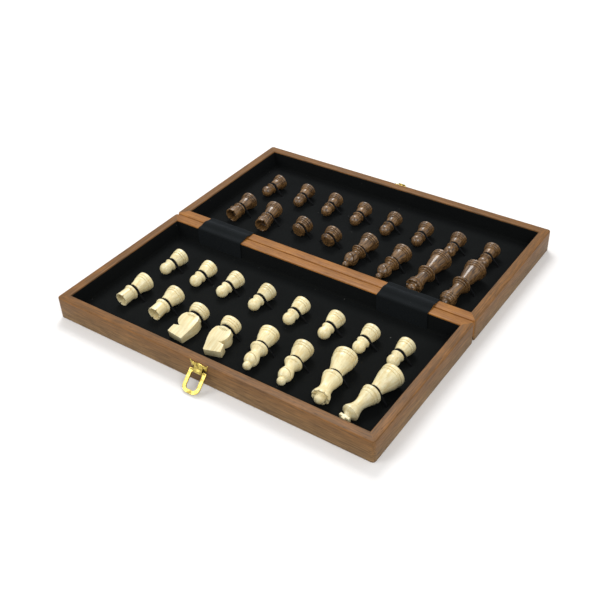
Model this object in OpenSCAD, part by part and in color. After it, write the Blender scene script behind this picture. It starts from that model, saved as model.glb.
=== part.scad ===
// Folding wooden chess set. Two shallow trays are hinged along their long walls.
// Shown open, lying flat, insides up: a playing board covers the undersides and
// the thirty-two pieces lie in the trays, each held down by an elastic loop.
// Origin: on the table, at the middle of the line where the two trays meet.
// X runs along the fold, +Y goes to the far tray, +Z is up. Millimetres.

/* [Case] */
// Length of the open board, along the fold
board_length = 300; // [285:5:360]
// Depth of one tray, from the fold to its outer wall
tray_depth = 150; // [142:2:180]
// Height of one tray
tray_height = 20; // [19:0.5:26]
// Thickness of the outer walls
wall = 8; // [6:0.5:9]
// Thickness of the two walls that carry the hinges
hinge_wall = 9; // [8:0.5:10]
// Thickness of the board panel under each tray
panel_thickness = 3.2; // [2.5:0.1:3.6]
// Radius of the case's upright corners
corner_radius = 3; // [1:0.5:4]
// Gap between the two trays when they lie open
seam_gap = 0.6; // [0.3:0.1:0.8]

/* [Playing board] */
// Side of one square
square_size = 33; // [28:0.5:35]
// Thickness of the inlaid veneer
veneer = 0.6; // [0.4:0.1:1]

/* [Lining] */
// Thickness of the cloth that lines the trays
lining_thickness = 0.8; // [0.4:0.1:1]
// Distance from the rim down to the top of the lining
lining_drop = 1; // [0.5:0.25:3]

/* [Hinges] */
// Distance of each hinge's middle from the middle of the fold
hinge_offset = 92; // [70:2:110]
// Length of one hinge
hinge_length = 30; // [24:1:40]
// Outer radius of the hinge knuckle
knuckle_radius = 1.1; // [1:0.05:1.4]
// Radius of the hinge pin
hinge_pin_radius = 0.55; // [0.4:0.05:0.6]
// Width of the cloth patch over each hinge
cover_width = 46; // [42:1:60]

/* [Clasp] */
// Height of the loop's pivot above the table
clasp_height = 12.5; // [12:0.5:14]
// Width of the swing loop
loop_width = 16; // [14:1:20]
// Distance from the pivot to the loop's outer end
loop_length = 17.2; // [15:0.2:18]
// Angle that the resting loop leans out from the wall
loop_lean = 48; // [46:1:60]

/* [Pieces] */
// Distance between neighbouring pieces in a row
column_pitch = 32.1; // [30:0.1:33]
// Shift of the rows towards the right
row_shift = 2.7; // [0:0.1:4]
// Scale of all thirty-two pieces
piece_scale = 1; // [0.9:0.01:1.03]
// Width of an elastic loop
elastic_width = 2.2; // [1.5:0.1:2.4]
// Thickness of an elastic loop
elastic_thickness = 0.7; // [0.4:0.1:1]
// Distance from a piece's axis to the slit that its loop goes through
slit_offset = 11; // [10:0.5:13]

/* [Hidden] */
$fn = 64;
touch = 0.15;        // air between a lying piece and the lining
loop_air = 0.35;     // air between a piece's waist and its loop
half_length = board_length / 2;
half_gap = seam_gap / 2;
floor_z = panel_thickness + lining_thickness;
fold_z = tray_height + half_gap;      // height of the hinge axis
rabbet = wall / 2;                    // the panel sits this deep in the walls
field = 8 * square_size;              // side of the playing field
inner_x = half_length - wall;
inner_front = tray_depth - wall;
inner_back = half_gap + hinge_wall;

leaf_thickness = 0.9;
leaf_width = hinge_wall - 1.8;
knuckle_air = 0.25;
running_fit = 0.05;
knuckle_gap = 0.15;
pin_head = 0.4;
screw_head = 1.6;
screw_shank = 0.8;
screw_length = 6;
cover_thickness = 0.5;

plate_thickness = 0.7;
tongue = 8;                           // width of the barrel that the loop turns in
plate_width = 15;
plate_height = 7;
pivot_out = 2.2;                      // pivot's distance from the wall
barrel_radius = 1.6;
bar_radius = 0.9;
loop_thickness = 1.4;
loop_side = 3.2;                      // width of the loop's side arms
bump_width = 7;
bump_out = 3.6;
nail_head = 1.3;
nail_shank = 0.55;
nail_length = 5;

walnut = "#7a5230";
walnut_light = "#b07a3c";
cloth = "#14161a";
brass = "#c9a84a";
cream = "#e8dfb4";
dark_wood = "#5a3d22";
maple = "#d9b98a";

// Where the rows stand, along Y, from the middle of a tray
pawn_row = 34;
back_row = [-11, -11, -18, -18, -11.5, -11.5, -4.5, -3];
back_rank = ["rook", "rook", "knight", "knight", "bishop", "bishop", "queen", "king"];
// How each piece of a back row lies turned, in degrees, and shifted along X
white_turn = [-3, 1, 5, 5, 9, 8, 8, -9];
dark_turn = [0, 10, -2, -1, -4, -4, -4, -3];
white_shift = [-1, 0.7, 0, 0, 0, 0, 1, 9];
dark_shift = [-4.2, -7.5, 0, -1, 1, 2, 3, 2];
white_pawn_turn = [-4, 0, -4, -2, 0, 1, 0, -3];
dark_pawn_turn = [-7, 6, 5, 3, 2, 3, 3, 2];
white_pawn_shift = [0, 0, -2.2, -1.8, 0, 1, 1, 0];
muzzle_side = [0, 0, 1, -1];          // which way the two knights of a row look

function back_name(side, i) =
    i > 5 ? str(side, "_", back_rank[i])
          : str(side, "_", back_rank[i], "_", i % 2 + 1);
function column_x(i) = row_shift + (i - 3.5) * column_pitch;

// ---- turned profiles: [distance from the base, radius] ----

// A smooth curve through the points, by quadratic and cubic blends
function blend(a, b, c, d, t) =
    0.5 * (2 * b + (c - a) * t + (2 * a - 5 * b + 4 * c - d) * t * t
           + (3 * b - a - 3 * c + d) * t * t * t);
function smooth(p, steps) = concat(
    [for (i = [0:len(p) - 2]) for (k = [0:steps - 1])
        blend(p[max(i - 1, 0)], p[i], p[i + 1], p[min(i + 2, len(p) - 1)], k / steps)],
    [p[len(p) - 1]]);
// A ball's outline, from where it meets a neck to its pole
function ball(centre, r, neck, steps) =
    let (start = asin(neck / r))
    [for (k = [0:steps]) let (a = start + (180 - start) * k / steps)
        [centre - r * cos(a), r * sin(a)]];

white_pawn = concat(
    smooth([[0, 6.6], [0.7, 7.1], [3, 7.2], [3.4, 6.9], [3.8, 7.1], [5.8, 6.6], [8.9, 5.9],
            [11.5, 5.2]], 2),
    [[11.8, 4.1], [14.2, 4.1]],
    smooth([[14.3, 4.8], [15.3, 5.3], [16.4, 5], [17.4, 4.5]], 2),
    ball(21.5, 5.1, 4.3, 8));
dark_pawn = concat(
    smooth([[0, 6.5], [0.7, 7.2], [2.2, 7.2], [2.6, 6.4], [3, 7], [4.4, 6.9], [4.8, 6.2],
            [5.2, 6.6], [7.7, 6.2], [9.9, 5.2], [11.5, 4.6]], 2),
    [[11.8, 3.7], [14.2, 3.7]],
    smooth([[14.3, 4.1], [15, 5.1], [15.9, 5.1], [16.4, 3.8]], 2),
    ball(21, 5.2, 3.2, 8));
white_rook = concat(
    smooth([[0, 7.4], [0.7, 8], [3.2, 8.1], [3.6, 7.8], [4, 8], [6.3, 7.3], [10, 6.2], [14.1, 5.4]], 2),
    [[14.4, 4.4], [17.1, 4.4]],
    smooth([[17.2, 5.6], [18.5, 6.6], [19.6, 6.5], [21.3, 5.4], [23.4, 5.3], [26.7, 5.6], [30, 6]], 2));
dark_rook = concat(
    smooth([[0, 7.2], [0.7, 8], [2.4, 8], [2.8, 7.2], [3.2, 7.8], [4.8, 7.7], [5.2, 6.9],
            [5.7, 7.3], [8.8, 6.4], [11.4, 5.3], [14, 4.8]], 2),
    [[14.3, 4.1], [16.9, 4.1]],
    smooth([[17, 4.6], [17.8, 6.2], [18.8, 6.2], [19.5, 5], [22.2, 5.2], [24, 6], [25.7, 6.4],
            [30, 6.6]], 2));
white_bishop = concat(
    smooth([[0, 7.4], [0.8, 8.1], [4, 8.2], [4.4, 7.9], [4.8, 8], [7.7, 7.5], [11.6, 6.1],
            [14.9, 5.4]], 2),
    [[15.3, 4.5], [17.9, 4.5]],
    smooth([[18, 5.8], [19.2, 7.1], [20.9, 7.1], [22.9, 5.6], [25.1, 4.5], [26.8, 4.2], [29, 5],
            [31.9, 5.7], [34.4, 5.3], [36.4, 4.2], [37.4, 3.4]], 2),
    ball(39.1, 3.5, 2.9, 6));
dark_bishop = concat(
    smooth([[0, 7.6], [0.8, 8.6], [2.6, 8.6], [3, 7.7], [3.4, 8.4], [5.2, 8.3], [5.7, 7.4],
            [6.3, 7.7], [9.5, 6.6], [13.1, 4.9], [15.2, 4.4]], 2),
    [[15.5, 3.9], [18.1, 3.9]],
    smooth([[18.2, 4.4], [19, 6.9], [20.1, 6.9], [20.8, 5.4], [21.7, 5.6], [22.4, 4.4], [23.3, 4.6],
            [24.4, 3.9], [26.7, 5.2], [29.8, 6.2], [33, 5.6], [36, 3.6], [37.1, 2.4]], 2),
    ball(39.1, 2.9, 2.1, 6));
white_queen = concat(
    smooth([[0, 8.8], [0.9, 9.6], [4.6, 9.6], [8.1, 9], [10.9, 7.9], [14.5, 6.7], [18.1, 5.8], [20.5, 5.4]], 2),
    [[20.7, 4.7], [23.3, 4.7]],
    smooth([[23.4, 6.6], [25, 7.8], [27.7, 7.9], [30.2, 7], [32.5, 5.9], [35, 5.2], [37.8, 5.1],
            [40.7, 5.8], [43.6, 6.9], [45.5, 6.8], [46.2, 5.2], [47, 4.6]], 2),
    ball(47.6, 4.1, 4, 6));
dark_queen = concat(
    smooth([[0, 8.6], [0.9, 9.6], [3, 9.6], [3.4, 8.6], [3.9, 9.3], [5.9, 9.2], [6.5, 8.2],
            [7.1, 8.5], [10.9, 7.9], [15.6, 6.4], [19.2, 5.3], [21.1, 5]], 2),
    [[21.3, 4.4], [23.9, 4.4]],
    smooth([[24, 5], [24.8, 7.9], [25.9, 7.9], [26.7, 6.4], [27.6, 6.8], [28.4, 5.6], [29.3, 5.9],
            [30.2, 5], [33.8, 4.9], [37.5, 5.4], [40.8, 6.4], [42.7, 7], [44.4, 7], [45.1, 5.4],
            [46.1, 4.6]], 2),
    ball(47.4, 3.9, 3.7, 6));
white_king = concat(
    smooth([[0, 8.8], [0.9, 9.6], [4.6, 9.6], [8.2, 9], [11.2, 7.9], [15, 6.7], [18.7, 5.6], [21.2, 5.1]], 2),
    [[21.5, 4.6], [24.1, 4.6]],
    smooth([[24.2, 6.4], [25.9, 7.8], [28.3, 7.9], [29.6, 7.2], [32, 6.8], [34.2, 5.6], [37.2, 4.6],
            [40.7, 4.3], [43.7, 4.8], [46.7, 6.1], [49, 6.7], [50.4, 6.2], [51.6, 3.6], [53, 2.6],
            [53.2, 0]], 2));
dark_king = concat(
    smooth([[0, 8.6], [0.9, 9.6], [3, 9.6], [3.4, 8.6], [3.9, 9.3], [5.9, 9.2], [6.5, 8.2],
            [7.1, 8.5], [11, 7.9], [15.9, 6.4], [19.5, 5.3], [21.5, 5]], 2),
    [[21.7, 4.4], [24.3, 4.4]],
    smooth([[24.4, 5], [25.3, 8], [26.5, 8], [27.3, 6.5], [28.3, 6.9], [29.1, 5.7], [30.1, 6],
            [31.1, 5], [35.9, 4.8], [41, 5.3], [44.4, 6.2], [46, 7], [47.4, 7], [48.2, 5.8],
            [49.4, 6.6], [50.4, 6.4], [51.6, 3.6], [53, 2.6], [53.2, 0]], 2));
white_knight = concat(
    smooth([[0, 7.6], [0.7, 8.3], [2.6, 8.3], [3, 8], [3.4, 8.3], [5.4, 7.9], [7.6, 6.8]], 2),
    [[7.8, 5], [10.4, 5], [10.5, 6.4], [12, 6.8], [13, 0]]);
dark_knight = concat(
    smooth([[0, 7.4], [0.7, 8.3], [2.2, 8.3], [2.6, 7.5], [3, 8.1], [4.4, 8], [4.8, 7.2],
            [5.2, 7.5], [7.6, 6.2]], 2),
    [[7.8, 4.6], [10.4, 4.6], [10.5, 6], [12, 6.6], [13, 0]]);

function profile(side, kind) =
    kind == "pawn" ? (side == "white" ? white_pawn : dark_pawn) :
    kind == "rook" ? (side == "white" ? white_rook : dark_rook) :
    kind == "bishop" ? (side == "white" ? white_bishop : dark_bishop) :
    kind == "queen" ? (side == "white" ? white_queen : dark_queen) :
    kind == "king" ? (side == "white" ? white_king : dark_king) :
    (side == "white" ? white_knight : dark_knight);
// [middle of the waist, its radius]
function waist(side, kind) = let (w = side == "white")
    kind == "pawn" ? (w ? [13, 4.1] : [13, 3.7]) :
    kind == "rook" ? (w ? [15.8, 4.4] : [15.6, 4.1]) :
    kind == "bishop" ? (w ? [16.6, 4.5] : [16.8, 3.9]) :
    kind == "queen" ? (w ? [22, 4.7] : [22.6, 4.4]) :
    kind == "king" ? (w ? [22.8, 4.6] : [23, 4.4]) :
    (w ? [9.1, 5] : [9.1, 4.6]);
// How far a lying piece's axis drops towards its head
function drop(side, kind) = let (w = side == "white")
    kind == "pawn" ? (w ? 5.6 : 5.4) :
    kind == "rook" ? (w ? 3.8 : 2.6) :
    kind == "bishop" ? (w ? 3.5 : 5.3) :
    kind == "queen" ? (w ? 3.7 : 3.6) :
    kind == "king" ? (w ? 3.8 : 3.5) : 8;
function base_radius(side, kind) =
    max([for (p = profile(side, kind)) p[0] < 5 ? p[1] : 0]) * piece_scale;
function axis_height(side, kind) =
    floor_z + touch + base_radius(side, kind) * cos(drop(side, kind))
    + 3 * piece_scale * sin(drop(side, kind));

// ---- the two trays, drawn for the near one ----

module far() mirror([0, 1, 0]) children();

module case_outline() {
    r = corner_radius;
    union() {
        translate([-half_length, -tray_depth + r]) square([board_length, tray_depth - half_gap - 2 * r]);
        translate([-half_length + r, -tray_depth]) square([board_length - 2 * r, tray_depth - half_gap]);
        for (x = [-1, 1]) for (y = [-tray_depth + r, -half_gap - r])
            translate([x * (half_length - r), y]) circle(r);
    }
}

module rounded_case() {
    intersection() {
        children();
        linear_extrude(tray_height) case_outline();
    }
}

module panel_space() {
    translate([-half_length + rabbet, -tray_depth + rabbet, -1])
        cube([board_length - 2 * rabbet, tray_depth, panel_thickness + 1]);
}

module outer_rail() {
    color(walnut) rounded_case() difference() {
        linear_extrude(tray_height)
            polygon([[-half_length, -tray_depth], [half_length, -tray_depth],
                     [inner_x, -inner_front], [-inner_x, -inner_front]]);
        panel_space();
        children();
    }
}

module side_rails() {
    color(walnut) rounded_case() difference() {
        for (x = [-1, 1])
            linear_extrude(tray_height)
                polygon([[x * half_length, -tray_depth], [x * inner_x, -inner_front],
                         [x * inner_x, -inner_back], [x * half_length, -half_gap]]);
        panel_space();
    }
}

module along_fold(length, r) {
    translate([-length / 2, 0, fold_z]) rotate([0, 90, 0]) cylinder(h = length, r = r);
}

module at_hinges() {
    for (x = [-hinge_offset, hinge_offset]) translate([x, 0, 0]) children();
}

module hinge_rail() {
    color(walnut_light) rounded_case() difference() {
        translate([0, 0, panel_thickness])
            linear_extrude(tray_height - panel_thickness)
                polygon([[-half_length, -half_gap], [half_length, -half_gap],
                         [inner_x, -inner_back], [-inner_x, -inner_back]]);
        for (x = [-1, 1]) translate([x * (half_length - rabbet / 2), -inner_back / 2, 0])
            cube([rabbet, inner_back * 2, panel_thickness], center = true);
        at_hinges() {
            along_fold(hinge_length + 2 * (pin_head + knuckle_air), knuckle_radius + knuckle_air);
            leaf_recess();
            screw_places() cylinder(h = screw_length + 1, r = screw_shank + running_fit);
        }
    }
}

module leaf_recess() {
    depth = leaf_thickness + half_gap;
    translate([-hinge_length / 2 - knuckle_air, -leaf_width - half_gap - knuckle_air,
               tray_height - depth])
        cube([hinge_length + 2 * knuckle_air, leaf_width + 1, depth + 1]);
}

module panel() {
    color(walnut) rounded_case() difference() {
        translate([-half_length + rabbet, -tray_depth + rabbet, 0])
            cube([board_length - 2 * rabbet, tray_depth - rabbet - half_gap, panel_thickness]);
        translate([-field / 2, -field / 2, -1])
            cube([field, field / 2 + 1, 1 + veneer]);
    }
}

module squares(parity, paint) {
    color(paint)
        for (i = [0:7]) for (j = [0:3])
            if ((i + j) % 2 == parity) {
                start = j == 0 ? half_gap : 0;
                translate([(i - 4) * square_size, -(j + 1) * square_size, 0])
                    cube([square_size, square_size - start, veneer]);
            }
}

module lining() {
    height = tray_height - lining_drop - panel_thickness;
    t = lining_thickness;
    color(cloth) difference() {
        translate([-inner_x, -inner_front, panel_thickness])
            cube([2 * inner_x, inner_front - inner_back, height]);
        translate([-inner_x + t, -inner_front + t, floor_z])
            cube([2 * (inner_x - t), inner_front - inner_back - 2 * t, height]);
    }
}

// ---- hinges ----

// Three places along a leaf, on the middle of the hinge wall
module screw_places() {
    for (k = [-1:1])
        translate([k * hinge_length / 3, -half_gap - hinge_wall / 2 - 0.6, tray_height - screw_length])
            children();
}

module leaf(parts) {
    segment = hinge_length / 3;
    top = tray_height - half_gap;
    color(brass) at_hinges() difference() {
        union() {
            translate([-hinge_length / 2, -leaf_width - half_gap, top - leaf_thickness])
                cube([hinge_length, leaf_width - knuckle_radius - knuckle_air, leaf_thickness]);
            for (k = parts) translate([(k - 0.5) * segment + knuckle_gap / 2, 0, 0]) {
                translate([0, -leaf_width - half_gap, top - leaf_thickness])
                    cube([segment - knuckle_gap, leaf_width + half_gap, leaf_thickness]);
                translate([0, 0, fold_z]) rotate([0, 90, 0])
                    cylinder(h = segment - knuckle_gap, r = knuckle_radius);
            }
        }
        along_fold(hinge_length + 2, hinge_pin_radius + running_fit);
        screw_places() {
            cylinder(h = screw_length + 1, r = screw_shank + running_fit);
            translate([0, 0, screw_length - half_gap - 0.5])
                cylinder(h = 1, r = screw_head + running_fit);
        }
    }
}

module pins() {
    color(brass) at_hinges() {
        along_fold(hinge_length, hinge_pin_radius);
        for (x = [-1, 1]) translate([x * (hinge_length + pin_head) / 2, 0, 0])
            along_fold(pin_head, knuckle_radius * 0.8);
    }
}

module hinge_screws() {
    head = 0.5;
    color(brass) at_hinges() screw_places() {
        translate([0, 0, 0.5]) cylinder(h = screw_length - half_gap - 0.5, r = screw_shank);
        translate([0, 0, screw_length - half_gap - head]) cylinder(h = head, r = screw_head);
    }
}

// Cloth that runs down one tray's wall, over both rims and the knuckle, and down again
module covers() {
    down = inner_back + lining_thickness + 0.3;
    rim = tray_height + 0.2;
    ridge = fold_z + knuckle_radius + 0.3;
    half_ridge = knuckle_radius + 1.2;
    t = cover_thickness;
    color(cloth) at_hinges() rotate([90, 0, 90]) translate([0, 0, -cover_width / 2])
        linear_extrude(cover_width)
            polygon([[-down, floor_z + 0.3], [-down - t, floor_z + 0.3], [-down - t, rim + t],
                     [-half_ridge - t, rim + t], [-half_ridge, ridge + t], [half_ridge, ridge + t],
                     [half_ridge + t, rim + t], [down + t, rim + t], [down + t, floor_z + 0.3],
                     [down, floor_z + 0.3], [down, rim], [half_ridge + t, rim],
                     [half_ridge, ridge], [-half_ridge, ridge], [-half_ridge - t, rim], [-down, rim]]);
}

// ---- clasp on the near tray, catch on the far one ----

pivot_y = -tray_depth - pivot_out;
plate_top = clasp_height + plate_height;
nail_spots = [-plate_width / 2 + 2.2, plate_width / 2 - 2.2];

module clasp_nail_places() {
    for (x = nail_spots) translate([x, -tray_depth, plate_top - 2.2]) rotate([90, 0, 0]) children();
}

module clasp_plate_shape() {
    difference() {
        union() {
            rotate([90, 0, 0]) linear_extrude(plate_thickness)
                polygon([[-tongue / 2, clasp_height], [tongue / 2, clasp_height],
                         [plate_width / 2, clasp_height + 2.5], [plate_width / 2 + 0.6, plate_top + 0.4],
                         [plate_width / 2 - 3, plate_top - 0.6], [0, plate_top - 0.2],
                         [-plate_width / 2 + 3, plate_top - 0.6],
                         [-plate_width / 2 - 0.6, plate_top + 0.4],
                         [-plate_width / 2, clasp_height + 2.5]]);
            translate([-tongue / 2, -pivot_out, clasp_height]) rotate([0, 90, 0])
                cylinder(h = tongue, r = barrel_radius);
            translate([-tongue / 2, -pivot_out, clasp_height]) cube([tongue, pivot_out, barrel_radius]);
        }
        translate([-tongue, -pivot_out, clasp_height]) rotate([0, 90, 0])
            cylinder(h = 2 * tongue, r = bar_radius + running_fit);
    }
}

module clasp_plate() {
    color(brass) difference() {
        translate([0, -tray_depth, 0]) clasp_plate_shape();
        clasp_nail_places() translate([0, 0, -1]) cylinder(h = 4, r = nail_shank + running_fit);
    }
}

module nails() {
    dome = 0.5;
    r = (nail_head * nail_head + dome * dome) / (2 * dome);
    translate([0, 0, plate_thickness]) intersection() {
        translate([0, 0, dome - r]) sphere(r = r);
        cylinder(h = 1, r = nail_head);
    }
    translate([0, 0, 0.3 - nail_length])
        cylinder(h = nail_length + plate_thickness, r = nail_shank);
}

module nail_holes() {
    translate([0, 0, -nail_length]) cylinder(h = nail_length + 1, r = nail_shank + running_fit);
}

module clasp_nails() {
    color(brass) clasp_nail_places() nails();
}

module loop_outline() {
    half_w = loop_width / 2;
    end_r = 5;
    window_end = loop_length - 2.6;
    difference() {
        union() {
            translate([-half_w, -loop_length + end_r]) square([loop_width, loop_length - end_r + 0.9]);
            translate([-half_w + end_r, -loop_length]) square([loop_width - 2 * end_r, end_r]);
            for (x = [-1, 1]) translate([x * (half_w - end_r), -loop_length + end_r]) circle(end_r);
        }
        translate([-half_w + loop_side, -window_end])
            square([loop_width - 2 * loop_side, window_end - 2.4]);
        translate([-tongue / 2 - 0.3, -2.5]) square([tongue + 0.6, 4]);
    }
}

// Flat frame with a round top bar that turns in the plate's barrel
module clasp_loop() {
    bar = loop_width - 2;
    color(brass) translate([0, pivot_y, clasp_height]) rotate([-loop_lean, 0, 0]) {
        translate([-bar / 2, 0, 0]) rotate([0, 90, 0]) cylinder(h = bar, r = bar_radius);
        translate([0, loop_thickness / 2, 0]) rotate([90, 0, 0])
            linear_extrude(loop_thickness) loop_outline();
    }
}

// On the shut case the hook stands in the middle of the raised loop's window
catch_top = tray_height - 0.5;
catch_low = 8;
bump_top = 2 * fold_z - clasp_height - 8.2;
bump_low = bump_top - 6;

module catch_nail_places() {
    for (x = nail_spots) translate([x, tray_depth, 10.4]) rotate([-90, 0, 0]) children();
}

module catch_plate() {
    color(brass) difference() {
        union() {
            translate([-plate_width / 2, tray_depth, catch_low])
                cube([plate_width, plate_thickness, catch_top - catch_low]);
            translate([-bump_width / 2, tray_depth, 0]) rotate([90, 0, 90])
                linear_extrude(bump_width)
                    polygon([[0, bump_low], [bump_out - 0.6, bump_low + 2], [bump_out, bump_low + 3],
                             [bump_out, bump_top - 1.6], [bump_out - 0.8, bump_top - 0.6],
                             [0, bump_top]]);
        }
        catch_nail_places() translate([0, 0, -1]) cylinder(h = 4, r = nail_shank + running_fit);
    }
}

module catch_nails() {
    color(brass) catch_nail_places() nails();
}

module near_front_rail() outer_rail() clasp_nail_places() nail_holes();

module far_back_rail() far() outer_rail() far() catch_nail_places() nail_holes();

// ---- chess pieces, drawn standing, then laid down ----

module turned(side, kind) {
    p = profile(side, kind);
    rotate_extrude() polygon(concat([[0, p[0][0]]], [for (q = p) [q[1], q[0]]], [[0, p[len(p) - 1][0]]]));
}

module rook_cuts(top, r) {
    translate([0, 0, top - 5]) cylinder(h = 6, r = r - 1.4);
    for (a = [0, 60, 120]) rotate([0, 0, a])
        translate([-r - 1, -0.8, top - 2]) cube([2 * r + 2, 1.6, 3]);
}

module cross() {
    translate([-2, -2.2, 52]) cube([4, 4.4, 5.6]);
    translate([-4.6, -2.2, 54]) cube([9.2, 4.4, 2.4]);
}

// Bead ring and ball on top of a queen
module coronet(z, r, beads) {
    for (k = [0:beads - 1]) rotate([0, 0, k * 360 / beads])
        translate([r, 0, z]) sphere(r = 1.3, $fn = 24);
}

module knight_head(side, look) {
    end = side == "white" ? 35.3 : 33.6;
    lobe = side == "white" ? 8.2 : 7.8;
    intersection() {
        rotate([90, 0, 0]) translate([0, 0, -6]) linear_extrude(12) looking(look) union() {
            translate([0, 17]) circle(lobe);
            polygon([[lobe, 18], [4.6, end], [-9.8, end - 2.8], [-8.3, end - 9.6],
                     [-1.5, end - 10.6], [-3, 18]]);
        }
        rotate([90, 0, 90]) translate([0, 0, -14]) linear_extrude(28)
            polygon([[-5.6, 10.4], [5.6, 10.4], [5.4, 22], [3, end + 1], [-3, end + 1], [-5.4, 22]]);
    }
    if (side == "dark") mane(look);
}

module looking(look) {
    if (look < 0) mirror([1, 0, 0]) children();
    else children();
}

// A row of low teeth along the back of the neck
module mane(look) {
    rotate([90, 0, 0]) translate([0, 0, -3.4]) linear_extrude(6.8) looking(look)
        for (k = [0:4]) translate([8 - 0.2 * k - 0.08 * k * k, 15.6 + 2.8 * k]) circle(1.1);
}

module standing(side, kind, look = 1) {
    if (kind == "rook") difference() {
        turned(side, kind);
        rook_cuts(30, side == "white" ? 6 : 6.6);
    }
    else if (kind == "bishop") difference() {
        turned(side, kind);
        translate([-2.4, 0, 33.6]) rotate([0, -28, 0]) translate([-8, -7, 0]) cube([8, 14, 0.9]);
    }
    else if (kind == "king") {
        turned(side, kind);
        cross();
    }
    else if (kind == "queen") {
        turned(side, kind);
        coronet(45, 5.4, 9);
    }
    else if (kind == "knight") {
        turned(side, kind);
        knight_head(side, look);
    }
    else turned(side, kind);
}

function tray_middle(side) = (side == "white" ? -1 : 1) * tray_depth / 2;
// [x, y, turn] of a piece, in a row of the near or the far tray
function pawn_spot(side, i) =
    side == "white" ? [column_x(i) + white_pawn_shift[i], tray_middle(side) + pawn_row, white_pawn_turn[i]]
                    : [column_x(i), tray_middle(side) + pawn_row, dark_pawn_turn[i]];
function back_spot(side, i) = side == "white"
    ? [column_x(i) + white_shift[i], tray_middle(side) + back_row[i], white_turn[i]]
    : [column_x(i) + dark_shift[i], tray_middle(side) + back_row[i], dark_turn[i]];

module laid(side, kind, spot, look = 1) {
    color(side == "white" ? cream : dark_wood)
        translate([spot[0], spot[1], axis_height(side, kind)]) rotate([0, 0, spot[2]])
            rotate([90 + drop(side, kind), 0, 0]) scale(piece_scale) standing(side, kind, look);
}

module pawn(side, i) laid(side, "pawn", pawn_spot(side, i));
module back_piece(side, i) laid(side, back_rank[i], back_spot(side, i), muzzle_side[i]);

// ---- elastic loops ----

// One edge of a strap laid over a round waist: it leaves the waist at angle a, straight to a slit
function strap_edge(r, a, height) = let (foot = (r + height * sin(a)) / cos(a), steps = 16)
    concat([[foot, -height]],
           [for (k = [0:steps]) let (t = a + (180 - 2 * a) * k / steps) [r * cos(t), r * sin(t)]],
           [[-foot, -height]]);
function reversed(p) = [for (k = [len(p) - 1:-1:0]) p[k]];

// The strap stands square to the leaning piece and ends just above the lining
module elastic(side, kind, spot) {
    w = waist(side, kind) * piece_scale;
    lean = drop(side, kind);
    waist_z = axis_height(side, kind) - w[0] * sin(lean);
    foot_z = floor_z + 0.05;
    height = (waist_z - foot_z) / cos(lean);
    inner = w[1] + loop_air;
    outer = inner + elastic_thickness;
    a = acos(outer / norm([slit_offset, height])) - atan2(height, slit_offset);
    intersection() {
        translate([spot[0], spot[1], 0]) rotate([0, 0, spot[2]])
            translate([0, -w[0] * cos(lean), waist_z]) rotate([90 + lean, 0, 0])
                linear_extrude(elastic_width, center = true)
                    polygon(concat(strap_edge(outer, a, height + 2),
                                   reversed(strap_edge(inner, a, height + 2))));
        translate([spot[0] - 20, spot[1] - 40, foot_z]) cube([40, 60, 30]);
    }
}

module elastics(side) {
    color(cloth) for (i = [0:7]) {
        elastic(side, "pawn", pawn_spot(side, i));
        elastic(side, back_rank[i], back_spot(side, i));
    }
}

near_front_rail();
hinge_rail();  // near_hinge_rail
side_rails();  // near_side_rails
panel();  // near_panel
squares(0, dark_wood);  // near_dark_squares
squares(1, maple);  // near_light_squares
lining();  // near_lining
elastics("white");  // near_elastics
far_back_rail();
far() hinge_rail();  // far_hinge_rail
far() side_rails();  // far_side_rails
far() panel();  // far_panel
far() squares(1, dark_wood);  // far_dark_squares
far() squares(0, maple);  // far_light_squares
far() lining();  // far_lining
elastics("dark");  // far_elastics
leaf([-1, 1]);  // near_hinge_leaves
far() leaf([0]);  // far_hinge_leaves
pins();  // hinge_pins
hinge_screws();  // near_hinge_screws
far() hinge_screws();  // far_hinge_screws
covers();  // hinge_covers
clasp_plate();
clasp_loop();
clasp_nails();
catch_plate();
catch_nails();
for (side = ["white", "dark"]) for (i = [0:7]) {
    pawn(side, i);
    back_piece(side, i);
}
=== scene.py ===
"""A folding wooden chess case, lying open with its thirty-two pieces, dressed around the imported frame.

The case is two shallow trays hinged along the fold. Their undersides are the playing board. Each
piece lies on the cloth lining, held at its waist by an elastic loop. Sizes are in millimetres in
the classes below and become metres where a mesh is made.
"""

import logging
import math
import random
from collections.abc import Callable, Sequence
from dataclasses import dataclass, field
from enum import Enum

import bmesh
import bpy
import numpy as np
from mathutils import Matrix, Vector


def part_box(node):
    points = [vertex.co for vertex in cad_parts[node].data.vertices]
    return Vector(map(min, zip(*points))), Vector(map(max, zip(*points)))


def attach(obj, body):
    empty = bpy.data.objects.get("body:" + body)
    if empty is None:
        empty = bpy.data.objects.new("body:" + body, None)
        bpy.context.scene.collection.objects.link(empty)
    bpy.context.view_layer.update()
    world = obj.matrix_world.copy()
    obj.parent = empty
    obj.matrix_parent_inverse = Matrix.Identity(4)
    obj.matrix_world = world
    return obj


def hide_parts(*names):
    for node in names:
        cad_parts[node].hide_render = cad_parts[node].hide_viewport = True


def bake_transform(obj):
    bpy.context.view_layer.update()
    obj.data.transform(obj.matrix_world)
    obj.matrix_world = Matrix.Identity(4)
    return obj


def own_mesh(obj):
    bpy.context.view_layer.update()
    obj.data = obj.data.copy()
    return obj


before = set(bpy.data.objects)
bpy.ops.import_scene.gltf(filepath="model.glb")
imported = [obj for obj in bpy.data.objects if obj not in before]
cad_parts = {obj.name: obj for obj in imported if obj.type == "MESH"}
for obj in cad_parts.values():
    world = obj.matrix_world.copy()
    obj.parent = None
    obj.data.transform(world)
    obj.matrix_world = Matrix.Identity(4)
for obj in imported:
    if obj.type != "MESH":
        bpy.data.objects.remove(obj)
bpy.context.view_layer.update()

MM = 0.001
LOG = logging.getLogger("chess_case")
Point = tuple[float, float]
Color = tuple[float, float, float]


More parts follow.
